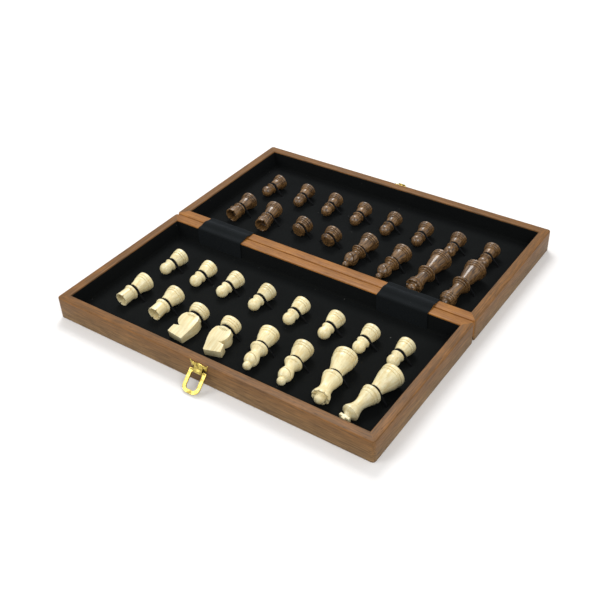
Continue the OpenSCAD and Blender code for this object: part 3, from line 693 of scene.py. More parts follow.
@dataclass
class Tray:
    """One half of the case: four rails, the board panel with its squares, and the cloth lining."""

    workshop: Workshop
    side: str
    sign: int
    length: float = 300.0
    depth: float = 150.0
    height: float = 20.0
    wall: float = 8.0
    hinge_wall: float = 9.0
    half_gap: float = 0.3
    panel: float = 3.2
    corner: float = 3.0
    rim_radius: float = 0.9
    square: float = 33.0
    veneer: float = 0.6
    lining_top: float = 19.0
    floor: float = 4.0
    hinge_offset: float = 92.0
    hinge_bed: tuple[float, float, float] = (15.25, 7.75, 18.8)
    fold_axis: float = 20.3

    @property
    def body(self) -> str:
        """The body that the tray is."""
        return f"{self.side}_half"

    def section(self, width: float, foot: float, rabbet: float) -> list[Point]:
        """A rail's cross-section as (depth from the outer face, height), rounded at its free edges.

        Args:
            width: The rail's thickness.
            foot: Height of its underside.
            rabbet: Width of the step that the panel sits in, or 0.

        Returns:
            The closed outline, from the outer lower edge up, over the rim and down inside.
        """
        def corner(cx: float, cz: float, r: float, first: float) -> list[Point]:
            angles = [math.radians(first - 90 * k / 4) for k in range(5)]
            return [(cx + r * math.cos(a), cz + r * math.sin(a)) for a in angles]

        r, inner_r, low_r = self.rim_radius, 0.7, 0.5
        line = corner(low_r, foot + low_r, low_r, 270)
        line += corner(r, self.height - r, r, 180)
        line += corner(width - inner_r, self.height - inner_r, inner_r, 90)
        if rabbet:
            return [*line, (width, self.panel), (width - rabbet, self.panel), (width - rabbet, foot)]
        return [*line, (width, foot)]

    def rail(self, width: float, foot: float, rabbet: float, half: float, ratios: tuple[float, float]) -> Solid:
        """A mitred rail along X with its outer face at Y 0 and its inside towards +Y.

        Args:
            width: Its thickness.
            foot: Height of its underside.
            rabbet: Width of the panel's step.
            half: Half of its length, outside.
            ratios: How far each mitre goes in along X for each unit of depth, left and right.

        Returns:
            The closed solid.
        """
        line = self.section(width, foot, rabbet)
        arc = [math.radians(45.0 * k / 6) for k in range(7)]
        ends = [(self.corner * (1 - math.sin(a)), self.corner * (1 - math.cos(a))) for a in arc]
        stations = [(-half + inset, offset, -1) for inset, offset in reversed(ends)]
        middle = np.linspace(-half + self.corner + 4, half - self.corner - 4, 24)
        stations += [(float(x), 0.0, 0) for x in middle]
        stations += [(half - inset, offset, 1) for inset, offset in ends]
        sections = []
        for x, offset, end in stations:
            ring = []
            for deep, z in line:
                pushed = offset + deep * (1 - offset / width)
                left, right = -half + pushed * ratios[0], half - pushed * ratios[1]
                ring.append((min(max(x, left), right), pushed, z))
            sections.append(ring)
        solid = swept(sections)
        return solid.work(lambda b: (bmesh.ops.remove_doubles(b, verts=b.verts, dist=0.004),
                                     bmesh.ops.recalc_face_normals(b, faces=b.faces)))

    def build_rails(self) -> None:
        """Builds the outer rail, the two side rails and the hinge rail."""
        flip = Matrix.Diagonal((1, self.sign * -1, 1, 1))
        outer = self.rail(self.wall, 0.0, self.wall / 2, self.length / 2, (1.0, 1.0))
        outer.moved(flip @ Matrix.Translation((0, -self.depth, 0)))
        front = "near_front_rail" if self.side == "near" else "far_back_rail"
        self.show_rail(front, outer, [front], "yzx", 1.0)
        span = self.depth - self.half_gap
        for hand in (-1, 1):
            side = self.rail(self.wall, 0.0, self.wall / 2, span / 2, (1.0, self.hinge_wall / self.wall))
            turn = Matrix(((0, -hand, 0, hand * self.length / 2), (1, 0, 0, -self.half_gap - span / 2),
                           (0, 0, 1, 0), (0, 0, 0, 1)))
            side.moved(flip @ turn)
            name = f"{self.side}_side_rail_{'right' if hand > 0 else 'left'}"
            self.show_rail(name, side, [f"{self.side}_side_rails"], "xzy", 3.0 + hand)
        self.build_hinge_rail(flip)

    def show_rail(self, name: str, solid: Solid, nodes: Sequence[str], grain: str, seed: float) -> None:
        """Shows a rail, marked where its rim and upper edge are warmer."""
        def warm(p: Vector) -> float:
            high = min(max((p.z - 16.2) / 3.2, 0.0), 1.0)
            return high * high * (3 - 2 * high)
        solid.work(lambda b: bmesh.ops.recalc_face_normals(b, faces=b.faces))
        self.workshop.show(name, solid, Finish.RAIL, self.body, nodes, grain=grain,
                           seed=seed + (7 if self.side == "far" else 0), mark=warm)

    def build_hinge_rail(self, flip: Matrix) -> None:
        """Builds the rail that carries the hinges, with their beds cut into its rim."""
        inset = self.wall / self.hinge_wall
        rail = self.rail(self.hinge_wall, self.panel, 0.0, self.length / 2, (inset, inset))
        rail.moved(Matrix.Translation((0, -self.half_gap, 0)) @ Matrix.Diagonal((1, -1, 1, 1)))
        rail.work(lambda b: bmesh.ops.recalc_face_normals(b, faces=b.faces))
        half, deep, low = self.hinge_bed
        for x in (-self.hinge_offset, self.hinge_offset):
            rail.combined(block((x - half, -deep, low), (x + half, 1.0, 21.0)), "DIFFERENCE")
            groove = lathe([(-15.65, 1.35), (15.65, 1.35)], 32)
            turn = Matrix.Translation((x, 0, self.fold_axis)) @ Matrix.Rotation(math.radians(90), 4, "Y")
            rail.combined(groove.moved(turn), "DIFFERENCE")
        rail.moved(flip).work(lambda b: bmesh.ops.recalc_face_normals(b, faces=b.faces))
        name = f"{self.side}_hinge_rail"
        self.workshop.show(name, rail, Finish.HINGE_WALL, self.body, [name], grain="yzx", seed=11.0 + self.sign)

    def build_board(self) -> None:
        """Dresses the panel and lays the veneer squares, each with its own grain."""
        self.workshop.dress(f"{self.side}_panel", Finish.PANEL, "yzx", 2.0)
        chooser = random.Random(20 + self.sign)
        for parity, finish, kind in ((0, Finish.DARK_SQUARE, "dark"), (1, Finish.LIGHT_SQUARE, "light")):
            node = f"{self.side}_{kind}_squares"
            whole: Solid | None = None
            offsets: list[tuple[int, float]] = []
            for i in range(8):
                for j in range(4):
                    if (i + j + (self.side == "far")) % 2 != parity:
                        continue
                    y = sorted((self.sign * max(j * self.square, self.half_gap), self.sign * (j + 1) * self.square))
                    tile = block(((i - 4) * self.square + 0.03, y[0] + 0.03, 0.0),
                                 ((i - 3) * self.square - 0.03, y[1] - 0.03, self.veneer)).rounded(0.12, 2)
                    offsets.append((len(tile.mesh.vertices), chooser.uniform(-0.5, 0.5)))
                    whole = tile if whole is None else whole.added(tile)
            piece = self.workshop.show(f"{node}_inlay", whole, finish, self.body, [node], grain="yzx")
            self.shift_grain(piece, offsets)

    @staticmethod
    def shift_grain(piece: bpy.types.Object, offsets: Sequence[tuple[int, float]]) -> None:
        """Moves the grain of each tile by its own amount.

        Args:
            piece: The piece whose mesh holds the tiles one after another.
            offsets: The number of points of each tile and its shift, in metres.
        """
        grain_field = piece.data.attributes[GRAIN_ATTRIBUTE]
        values = np.empty(len(grain_field.data) * 3, np.float32)
        grain_field.data.foreach_get("vector", values)
        shifts = np.concatenate([np.full(count, shift, np.float32) for count, shift in offsets])
        values = values.reshape(-1, 3) + shifts[:, None] * np.array([1.0, 1.7, 0.6], np.float32)
        grain_field.data.foreach_set("vector", values.ravel())


@dataclass
class Lining:
    """The cloth glued into a tray: a flat floor with a small slit at each strap's foot, and four walls."""

    workshop: Workshop
    tray: Tray
    slits: Sequence[tuple[float, float, float]]
    step: float = 0.9
    cove: float = 2.2
    thickness: float = 0.45
    inner_x: float = 141.4
    inner_outer: float = 141.4
    inner_fold: float = 9.75

    def floor_height(self, x: np.ndarray, y: np.ndarray) -> np.ndarray:
        """Height of the floor: nearly flat, drawn in at the slits."""
        wave = 0.045 * np.sin(x / 17.0 + 0.6 * np.sin(y / 11.0)) * np.cos(y / 13.0 + 0.4)
        height = self.tray.floor - 0.06 + wave
        for sx, sy, _ in self.slits:
            far = np.hypot(x - sx, (y - sy) / 1.5)
            height = height - 0.45 * np.exp(-far ** 2) + 0.07 * np.exp(-((far - 2.6) / 0.9) ** 2)
        return height

    def slit_shade(self, point: Vector) -> float:
        """Painted shade at a point, from 1 in a slit's mouth to 0, that darkens the cloth there."""
        if point.z > self.tray.floor + 0.3:
            return 0.0
        depth = 0.0
        for sx, sy, turn in self.slits:
            dx, dy = point.x - sx, point.y - sy
            if abs(dx) < 3 and abs(dy) < 4:
                across = dx * math.cos(turn) + dy * math.sin(turn)
                along = -dx * math.sin(turn) + dy * math.cos(turn)
                depth = max(depth, math.exp(-(across / 0.7) ** 2 - (along / 1.5) ** 4))
        return depth

    def build(self) -> None:
        sign = self.tray.sign
        low_y, high_y = sorted((sign * self.inner_fold, sign * self.inner_outer))
        xs = np.linspace(-self.inner_x + self.cove, self.inner_x - self.cove, int(2 * self.inner_x / self.step))
        ys = np.linspace(low_y + self.cove, high_y - self.cove, int((high_y - low_y) / self.step))
        grid_x, grid_y = np.meshgrid(xs, ys, indexing="ij")
        top = np.stack([grid_x, grid_y, self.floor_height(grid_x, grid_y)], -1).reshape(-1, 3)
        nx, ny = len(xs), len(ys)
        faces = [(i * ny + j, (i + 1) * ny + j, (i + 1) * ny + j + 1, i * ny + j + 1)
                 for i in range(nx - 1) for j in range(ny - 1)]
        loop = [(i, 0) for i in range(nx)] + [(nx - 1, j) for j in range(1, ny)]
        loop += [(i, ny - 1) for i in range(nx - 2, -1, -1)] + [(0, j) for j in range(ny - 2, 0, -1)]
        arc = [math.radians(90 * k / 6) for k in range(1, 7)]
        rows = [(self.cove * math.sin(a), self.cove * (1 - math.cos(a))) for a in arc]
        rows += [(self.cove, self.cove + (self.tray.lining_top - self.tray.floor - self.cove) * k / 6)
                 for k in range(1, 7)]
        vertices = [tuple(p) for p in top]
        ring = [i * ny + j for i, j in loop]
        for number, (out, up) in enumerate(rows):
            fresh = []
            for i, j in loop:
                ox = -1 if i == 0 else 1 if i == nx - 1 else 0
                oy = -1 if j == 0 else 1 if j == ny - 1 else 0
                base = top[i * ny + j]
                share = 1 - (number + 1) / len(rows)
                fresh.append(len(vertices))
                lift = self.tray.floor + up + (base[2] - self.tray.floor) * share
                vertices.append((base[0] + ox * out, base[1] + oy * out, lift))
            size = len(ring)
            faces += [(ring[k], ring[(k + 1) % size], fresh[(k + 1) % size], fresh[k]) for k in range(size)]
            ring = fresh
        solid = Solid(vertices, faces)
        self.thicken(solid)
        name = f"{self.tray.side}_lining_cloth"
        # The mark is painted shade, darkest in each slit's mouth.
        piece = self.workshop.show(name, solid, Finish.LINING, self.tray.body, [f"{self.tray.side}_lining"],
                                   seed=5.0 + sign, sharp=50.0, mark=self.slit_shade)

    def thicken(self, solid: Solid) -> None:
        """Gives the sheet its thickness, away from the tray's inside."""
        def action(b: bmesh.types.BMesh) -> None:
            bmesh.ops.recalc_face_normals(b, faces=b.faces)
            b.faces.ensure_lookup_table()
            b.normal_update()
            outward = next(f for f in b.faces if abs(f.normal.z) > 0.9)
            if outward.normal.z < 0:
                bmesh.ops.reverse_faces(b, faces=b.faces)
                b.normal_update()
            shift = {v: v.normal.copy() for v in b.verts}
            made = bmesh.ops.duplicate(b, geom=list(b.verts) + list(b.edges) + list(b.faces))
            twin = {a: c for a, c in made["vert_map"].items() if a in shift}
            for first, second in twin.items():
                second.co = first.co - shift[first] * self.thickness
            bmesh.ops.reverse_faces(b, faces=[f for f in made["geom"] if isinstance(f, bmesh.types.BMFace)])
            rims = [e for e in b.edges if len(e.link_faces) == 1 and e.verts[0] in shift]
            for e in rims:
                one, two = e.verts
                b.faces.new((one, two, twin[two], twin[one]))
            bmesh.ops.recalc_face_normals(b, faces=b.faces)
        solid.work(action)


@dataclass
class HingeCovers:
    """Two soft cloth patches that run down both inner walls and over the hinges between them."""

    workshop: Workshop
    spans: tuple[tuple[str, float, float], ...] = (("left", -116.5, -69.0), ("right", 68.5, 114.5))
    thickness: float = 0.3
    foot: float = 4.5
    reach: float = 10.35
    rim: float = 20.28
    ridge: float = 21.75

    def path(self) -> list[Point]:
        """The patch's line across the fold, as (Y, Z), from the near tray's floor to the far one's."""
        half = [(-self.reach, self.foot), (-self.reach, 9.0), (-self.reach, 14.0), (-self.reach, 18.4),
                (-self.reach + 0.15, 19.6), (-self.reach + 0.75, 20.2), (-self.reach + 1.9, self.rim + 0.1),
                (-6.8, self.rim + 0.12), (-4.6, self.rim + 0.35), (-2.8, self.rim + 0.95), (-1.2, self.ridge - 0.1)]
        return curve([*half, (0.0, self.ridge), *[(-y, z) for y, z in reversed(half)]], 4)

    def build(self) -> None:
        """Builds both patches and bakes their place into their meshes."""
        line = self.path()
        for name, left, right in self.spans:
            chooser = random.Random(name)
            phase = chooser.uniform(0, 6)
            columns = np.linspace(left, right, 54)
            sheets = []
            for lift in (0.0, self.thickness):
                skin = []
                for x in columns:
                    edge = min(x - left, right - x)
                    droop = 0.12 * math.exp(-edge / 1.2)
                    for k, (y, z) in enumerate(line):
                        before, after = line[max(k - 1, 0)], line[min(k + 1, len(line) - 1)]
                        tangent = Vector((after[0] - before[0], after[1] - before[1])).normalized()
                        wave = 0.07 * math.sin(x / 4.3 + phase + y / 5.0) + 0.05 * math.sin(x / 1.9 + z + phase)
                        out = lift + (wave + 0.12 if abs(y) < 9.5 else 0.5 * wave + 0.04) - droop
                        skin.append((x, y - tangent.y * out, z + tangent.x * out))
                sheets.append(skin)
            rows, count = len(line), len(columns)
            vertices = sheets[0] + sheets[1]
            under = len(sheets[0])
            faces = []
            for i in range(count - 1):
                for k in range(rows - 1):
                    a, b = i * rows + k, (i + 1) * rows + k
                    faces += [(a, b, b + 1, a + 1), (under + a, under + a + 1, under + b + 1, under + b)]
            border = list(range(rows)) + [i * rows + rows - 1 for i in range(1, count)]
            border += [(count - 1) * rows + k for k in range(rows - 2, -1, -1)]
            border += [i * rows for i in range(count - 2, 0, -1)]
            faces += [(a, b, under + b, under + a) for a, b in zip(border, border[1:] + border[:1])]
            piece = self.workshop.show(f"hinge_cover_{name}", Solid(vertices, faces), Finish.COVER, None,
                                       ["hinge_covers"], sharp=60.0)
            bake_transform(piece)


@dataclass
class Clasp:
    """The brass plate and swing loop on the near tray, and the catch on the far one."""

    workshop: Workshop
    wall_y: float = 150.0
    pivot: float = 12.5
    pivot_out: float = 2.2
    plate: float = 0.7
    lean: float = 48.0
    loop_width: float = 16.0
    loop_length: float = 17.2
    arm: float = 3.1
    nail_x: float = 5.3

    def near_plate(self) -> Solid:
        """The plate with pointed ears, and its tongue folded round the loop's bar."""
        top = self.pivot + 7.0
        half = [(4.0, self.pivot + 0.2), (6.6, self.pivot + 1.6), (7.5, self.pivot + 3.2), (7.6, top - 2.2),
                (8.0, top - 0.9), (8.3, top + 0.45), (6.9, top - 0.1), (5.2, top - 0.75), (3.2, top - 0.5),
                (1.4, top - 0.15)]
        right = curve(half, 3)
        outline = [*right, *[(-x, z) for x, z in reversed(right)]]
        plate = prism(outline, -self.wall_y - self.plate, -self.wall_y, "y").rounded(0.18, 2)
        face = -self.wall_y - self.plate
        cy, cz = -self.wall_y - self.pivot_out, self.pivot
        middle = [(face + 0.15, cz + 5.6), (face - 0.25, cz + 4.6), (face - 0.9, cz + 2.9)]
        middle += [(cy - 1.32 * math.cos(math.radians(a)), cz - 1.32 * math.sin(math.radians(a)))
                   for a in (-25, 0, 25, 50, 75, 100, 125)]
        middle += [(face + 0.55, cz - 0.9), (face + 0.65, cz + 0.3)]
        strip = self.ribbon(curve(middle, 3), 0.56)
        tongue = prism(strip, -4.0, 4.0, "x").rounded(0.14, 2)
        return plate.added(tongue)

    @staticmethod
    def ribbon(middle: Sequence[Point], thick: float) -> list[Point]:
        """The closed outline of a strip of one thickness along a line."""
        left, right = [], []
        for k, point in enumerate(middle):
            a, b = middle[max(k - 1, 0)], middle[min(k + 1, len(middle) - 1)]
            size = math.dist(a, b) or 1.0
            nx, ny = -(b[1] - a[1]) / size, (b[0] - a[0]) / size
            left.append((point[0] + nx * thick / 2, point[1] + ny * thick / 2))
            right.append((point[0] - nx * thick / 2, point[1] - ny * thick / 2))
        return [*left, *reversed(right)]

    def loop(self) -> Solid:
        """The flat swing loop with its round bar, made hanging straight down from the pivot."""
        def ring(half: float, end: float, top: float, r: float, steps: int) -> list[Point]:
            arc = [math.radians(90 * k / steps) for k in range(steps + 1)]
            right = [(half - r + r * math.cos(a), -end + r - r * math.sin(a)) for a in arc]
            upper = [(half - 0.8 + 0.8 * math.cos(a), top - 0.8 + 0.8 * math.sin(a)) for a in arc]
            side = [*reversed(upper), *right]
            return [*side, *[(-x, z) for x, z in reversed(side)]]

        half = self.loop_width / 2
        outer = ring(half, self.loop_length, 1.1, 5.6, 8)
        inner = ring(half - self.arm, self.loop_length - 2.9, -1.2, 2.6, 8)
        count = len(outer)
        vertices = [(x, y, z) for y in (-0.6, 0.6) for line in (outer, inner) for x, z in line]
        faces = []
        for k in range(count):
            n = (k + 1) % count
            faces += [(k, n, count + n, count + k), (2 * count + k, 3 * count + k, 3 * count + n, 2 * count + n),
                      (k, 2 * count + k, 2 * count + n, n),
                      (count + k, count + n, 3 * count + n, 3 * count + k)]
        frame_part = Solid(vertices, faces)
        frame_part.combined(block((-4.35, -2, -1.9), (4.35, 2, 3)), "DIFFERENCE")
        frame_part.rounded(0.26, 3, 40.0)
        bar = lathe([(-7.2, 0.75), (-7.0, 0.86), (7.0, 0.86), (7.2, 0.75)], 28)
        bar.moved(Matrix.Rotation(math.radians(90), 4, "Y"))
        return frame_part.added(bar)

    def nails(self, z: float) -> Solid:
        """Two nails with low domed heads on the far side of a plate at Y 0."""
        whole: Solid | None = None
        for x in (-self.nail_x, self.nail_x):
            dome = [(0.0, 0.5), (self.plate - 0.02, 0.5), (self.plate, 1.3), (self.plate + 0.12, 1.32)]
            dome += [(self.plate + 0.12 + 0.42 * math.sin(a), 1.3 * math.cos(a)) for a in
                     (math.radians(d) for d in (12, 30, 48, 66, 80, 90))]
            nail = lathe([(-4.0, 0.1), (-3.2, 0.5), *dome], 28)
            nail.moved(Matrix.Translation((x, 0, z)) @ Matrix.Rotation(math.radians(90), 4, "X"))
            whole = nail if whole is None else whole.added(nail)
        return whole

    def catch(self) -> Solid:
        """The far tray's plate with its curled hook."""
        outline = curve([(7.1, 8.0), (7.5, 9.2), (7.5, 15.0), (7.3, 18.2), (6.2, 19.4), (4.0, 19.5)], 3)
        plate = prism([*outline, *[(-x, z) for x, z in reversed(outline)]], self.wall_y, self.wall_y + self.plate,
                      "y").rounded(0.18, 2)
        y = self.wall_y + self.plate
        line = curve([(y - 0.3, 15.2), (y + 0.9, 15.6), (y + 2.1, 16.4), (y + 2.5, 17.6), (y + 2.2, 18.9),
                      (y + 1.4, 19.6)], 4)
        hook = prism(self.ribbon(line, 0.7), -3.5, 3.5, "x").rounded(0.2, 2)
        return plate.added(hook)

    def build(self) -> None:
        """Builds and places every brass piece of the clasp."""
        show = self.workshop.show
        show("clasp_plate_stamped", self.near_plate(), Finish.BRASS, "near_half", ["clasp_plate"])
        pose = Matrix.Translation((0, -self.wall_y - self.pivot_out, self.pivot))
        pose = pose @ Matrix.Rotation(math.radians(-self.lean), 4, "X")
        show("clasp_swing_loop", self.loop(), Finish.BRASS, "clasp", ["clasp_loop"], place=pose, sharp=40.0)
        near = Matrix.Translation((0, -self.wall_y, 0))
        show("clasp_plate_nails", self.nails(17.3), Finish.BRASS, "near_half", ["clasp_nails"], place=near)
        far = Matrix.Translation((0, self.wall_y, 0)) @ Matrix.Diagonal((1, -1, 1, 1))
        nails = self.nails(10.4).moved(far)
        nails.work(lambda b: bmesh.ops.recalc_face_normals(b, faces=b.faces))
        show("catch_plate_nails", nails, Finish.BRASS, "far_half", ["catch_nails"])
        show("catch_plate_hook", self.catch(), Finish.BRASS, "far_half", ["catch_plate"])


# ---------------------------------------------------------------- the pieces


class Side(Enum):
    """Whose pieces they are, with their tray and finish."""

    WHITE = ("white", "near", Finish.BOXWOOD)
    DARK = ("dark", "far", Finish.STAINED)


class Kind(Enum):
    """The six kinds of piece."""

    PAWN = "pawn"
    ROOK = "rook"
    KNIGHT = "knight"
    BISHOP = "bishop"
    QUEEN = "queen"
    KING = "king"


@dataclass(frozen=True)
class Turning:
    """A piece's turned outline, its waist (middle, radius) and how far its axis drops when it lies."""

    outline: list[Point]
    waist: Point
    drop: float


def drum(radius: float, second: float, shoulder: Sequence[Point]) -> list[Point]:
    """The base of a white piece: a drum and a smaller ring parted by fine grooves, then a shoulder.

    Args:
        radius: The drum's radius.
        second: The ring's radius.
        shoulder: What follows the ring, up to the waist.

    Returns:
        The outline up to the waist.
    """
    start = [(0.0, radius - 0.8), (0.08, radius - 0.4), (0.5, radius - 0.07), (1.1, radius), (2.0, radius),
             (2.9, radius), (3.15, radius - 0.15), (3.25, second - 0.55), (3.55, second - 0.55),
             (3.65, second - 0.1), (4.2, second), (4.8, second - 0.05), (5.2, second - 0.35),
             (5.35, second - 0.95), (5.65, second - 0.95)]
    return start + curve([(5.75, second - 0.65), *shoulder], 4)


def white_turnings() -> dict[Kind, Turning]:
    """The outlines of the white pieces."""
    pawn = drum(7.2, 7.05, [(7.2, 6.45), (9.2, 5.8), (11.3, 5.1), (11.6, 4.6)])
    pawn += [(11.7, 4.1), (14.3, 4.1), (14.35, 4.9), *curve([(14.5, 5.2), (15.2, 5.4), (16.0, 5.1), (16.8, 4.5)], 3),
             (17.1, 4.3), *ball(21.0, 5.2, 4.25)[1:]]
    rook = drum(8.1, 7.9, [(7.4, 7.2), (10.0, 6.2), (13.9, 5.35), (14.3, 4.9)])
    rook += [(14.4, 4.4), (17.2, 4.4), (17.25, 5.6), *curve([(17.4, 6.3), (18.0, 6.6), (19.2, 6.6), (19.8, 6.2),
                                                             (20.2, 5.6)], 3), (20.4, 5.35)]
    rook += curve([(20.6, 5.6), (22.4, 5.65), (25.0, 5.75), (28.0, 5.9)], 3)
    rook += [(29.85, 6.0), (30.0, 5.88), (30.0, 5.15), (29.85, 5.0), (28.0, 4.95), (24.8, 4.7), (24.0, 4.2),
             (23.9, 0.0)]
    bishop = drum(8.2, 7.9, [(7.6, 7.4), (11.6, 6.1), (14.7, 5.3), (15.15, 4.9)])
    bishop += [(15.25, 4.5), (17.95, 4.5), (18.0, 5.8), *curve([(18.2, 6.7), (18.9, 7.15), (20.4, 7.1), (21.2, 6.5)],
                                                               3)]
    bishop += [(21.4, 5.9), *curve([(21.6, 5.95), (22.9, 5.4), (24.6, 4.5), (26.2, 4.3), (28.6, 5.1), (31.6, 5.8),
                                    (34.2, 5.4), (36.2, 4.3), (37.2, 3.1)], 3), *ball(39.1, 3.5, 2.6)[1:]]
    queen = drum(9.6, 9.4, [(8.2, 8.8), (10.9, 7.9), (14.5, 6.7), (18.1, 5.8), (20.3, 5.3), (20.55, 5.0)])
    queen += [(20.65, 4.7), (23.35, 4.7), (23.4, 6.4), *curve([(23.6, 7.3), (24.4, 7.85), (25.8, 7.9), (26.5, 7.5)], 3),
              (26.7, 7.0), *curve([(26.9, 7.15), (28.0, 7.3), (29.2, 6.9), (30.4, 6.5), (32.5, 5.8), (35.0, 5.2),
                                   (37.8, 5.1), (40.2, 5.6), (42.4, 6.5), (44.0, 7.2)], 3)]
    queen += [(45.2, 7.3), (45.5, 7.0), (45.1, 5.7), (45.0, 4.4), *ball(47.4, 4.15, 3.7)[1:]]
    king = drum(9.6, 9.4, [(8.2, 8.8), (11.2, 7.9), (15.0, 6.7), (18.7, 5.6), (21.1, 5.0), (21.35, 4.8)])
    king += [(21.45, 4.6), (24.15, 4.6), (24.2, 6.3), *curve([(24.4, 7.2), (25.2, 7.85), (26.8, 7.9), (27.5, 7.5)], 3),
             (27.7, 6.9), *curve([(27.9, 7.05), (29.0, 7.2), (30.2, 6.9)], 3), (30.4, 6.4),
             *curve([(30.6, 6.45), (32.4, 6.1), (34.2, 5.4), (37.2, 4.6), (40.0, 4.3), (42.4, 4.6), (44.4, 5.2)], 3)]
    king += [(44.6, 4.9), *curve([(44.8, 5.3), (46.7, 6.2), (48.4, 6.75), (49.6, 6.75)], 3), (49.8, 6.2),
             *curve([(50.0, 6.1), (50.8, 5.0), (51.6, 3.6), (52.4, 2.8), (53.4, 2.3)], 3), (53.8, 0.0)]
    knight = drum(8.3, 8.1, [(6.4, 7.4), (7.3, 6.7), (7.6, 5.6)])
    knight += [(7.75, 5.0), (10.45, 5.0), *curve([(10.5, 6.0), (11.0, 6.8), (12.0, 6.9), (12.8, 6.4)], 3)]
    return {Kind.PAWN: Turning(pawn, (13.0, 4.1), 5.6), Kind.ROOK: Turning(rook, (15.8, 4.4), 3.8),
            Kind.BISHOP: Turning(bishop, (16.6, 4.5), 3.5), Kind.QUEEN: Turning(queen, (22.0, 4.7), 3.7),
            Kind.KING: Turning(king, (22.8, 4.6), 3.8), Kind.KNIGHT: Turning(knight, (9.1, 5.0), 8.0)}


def ringed_base(radius: float, neck: float, end: float) -> list[Point]:
    """The base of a dark piece: three turned rings under a hollow shoulder.

    Args:
        radius: The lowest ring's radius.
        neck: The shoulder's radius at its end.
        end: Where the shoulder ends on the axis.

    Returns:
        The outline up to the waist.
    """
    rings = [(0.0, radius - 1.2), (0.15, radius - 0.6), *bead(0.3, 2.5, radius - 0.5, radius, 8),
             (2.75, radius - 1.15), *bead(3.0, 4.5, radius - 0.9, radius - 0.25, 7), (4.75, radius - 1.6),
             *bead(5.0, 6.0, radius - 1.4, radius - 0.95, 6)]
    return rings + curve([(6.15, radius - 1.9), (7.0, radius - 1.85),
                          (6.2 + (end - 6.2) * 0.5, (radius + neck) / 2 - 0.6), (end, neck)], 4)


def dark_turnings() -> dict[Kind, Turning]:
    """The outlines of the dark pieces."""
    pawn = ringed_base(7.2, 4.6, 11.4)
    pawn += [(11.6, 3.7), (14.3, 3.7), *bead(14.4, 16.0, 4.0, 5.4, 8), (16.2, 3.9), (16.4, 3.6),
             *ball(21.0, 5.2, 3.4)[1:]]
    rook = ringed_base(8.0, 4.9, 13.9)
    rook += [(14.2, 4.1), (17.0, 4.1), *bead(17.05, 18.8, 4.9, 6.4, 8), (19.0, 5.0), *bead(19.2, 20.1, 5.0, 5.6, 6),
             *curve([(20.3, 4.9), (21.8, 5.1), (22.8, 5.7), (23.4, 6.2)], 4), *bead(23.5, 24.7, 6.2, 6.75, 6),
             *curve([(24.9, 6.05), (26.4, 6.25), (29.6, 6.6)], 4)]
    rook += [(29.9, 6.5), (30.0, 6.3), (30.0, 5.5), (29.8, 5.3), (27.0, 5.0), (23.2, 4.6), (22.6, 3.9), (22.4, 0.0)]
    bishop = ringed_base(8.6, 4.5, 15.1)
    bishop += [(15.4, 3.9), (18.15, 3.9), *bead(18.2, 20.0, 4.8, 7.1, 9), (20.2, 5.1), *bead(20.5, 21.6, 5.0, 5.9, 7),
               (21.8, 4.3), *bead(22.1, 23.0, 4.2, 4.9, 6), *curve([(23.3, 3.9), (24.4, 3.9), (26.7, 5.2), (29.8, 6.2),
                                                                    (33.0, 5.6), (36.0, 3.6), (37.0, 2.2)], 4)]
    bishop += ball(39.1, 2.9, 1.9)[1:]
    queen = ringed_base(9.6, 5.0, 21.0)
    queen += [(21.2, 4.4), (23.95, 4.4), *bead(24.0, 25.9, 5.6, 8.1, 9), (26.2, 6.0), *bead(26.5, 27.7, 6.0, 6.9, 7),
              (28.0, 5.3), *bead(28.3, 29.4, 5.2, 6.0, 7), *curve([(29.7, 4.9), (31.6, 4.8), (35.4, 5.0), (38.4, 5.6),
                                                                   (40.2, 6.2)], 4)]
    queen += [*bead(40.4, 41.8, 6.2, 7.0, 7), (42.0, 6.2), *curve([(42.3, 6.3), (43.4, 6.9), (44.4, 7.3)], 3),
              (45.1, 7.2), (45.2, 6.7), (44.8, 5.2), (44.9, 4.2), *ball(47.2, 3.9, 3.4)[1:]]
    king = ringed_base(9.6, 5.0, 21.4)
    king += [(21.6, 4.4), (24.35, 4.4), *bead(24.4, 26.4, 5.6, 8.2, 9), (26.7, 6.1), *bead(27.0, 28.3, 6.1, 7.0, 7),
             (28.6, 5.4), *bead(28.9, 30.1, 5.3, 6.1, 7), *curve([(30.4, 4.9), (32.6, 4.7), (37.0, 4.8), (41.0, 5.3),
                                                                  (43.2, 5.9)], 4)]
    king += [*bead(43.4, 44.8, 5.9, 6.7, 7), (45.0, 6.1), *bead(45.3, 47.4, 6.3, 7.2, 8), (47.7, 5.9),
             *bead(48.0, 49.4, 5.8, 6.6, 7), *curve([(49.6, 5.8), (50.6, 5.0), (51.6, 3.5), (52.6, 2.7), (53.4, 2.2)],
                                                    4), (53.8, 0.0)]
    knight = ringed_base(8.3, 6.2, 7.55)
    knight += [(7.75, 4.6), (10.45, 4.6), *bead(10.5, 12.2, 5.8, 6.9, 8), (12.6, 6.2), (13.4, 5.2)]
    return {Kind.PAWN: Turning(pawn, (13.0, 3.7), 5.4), Kind.ROOK: Turning(rook, (15.6, 4.1), 2.6),
            Kind.BISHOP: Turning(bishop, (16.8, 3.9), 5.3), Kind.QUEEN: Turning(queen, (22.6, 4.4), 3.6),
            Kind.KING: Turning(king, (23.0, 4.4), 3.5), Kind.KNIGHT: Turning(knight, (9.1, 4.6), 8.0)}


TURNINGS: dict[Side, dict[Kind, Turning]] = {Side.WHITE: white_turnings(), Side.DARK: dark_turnings()}


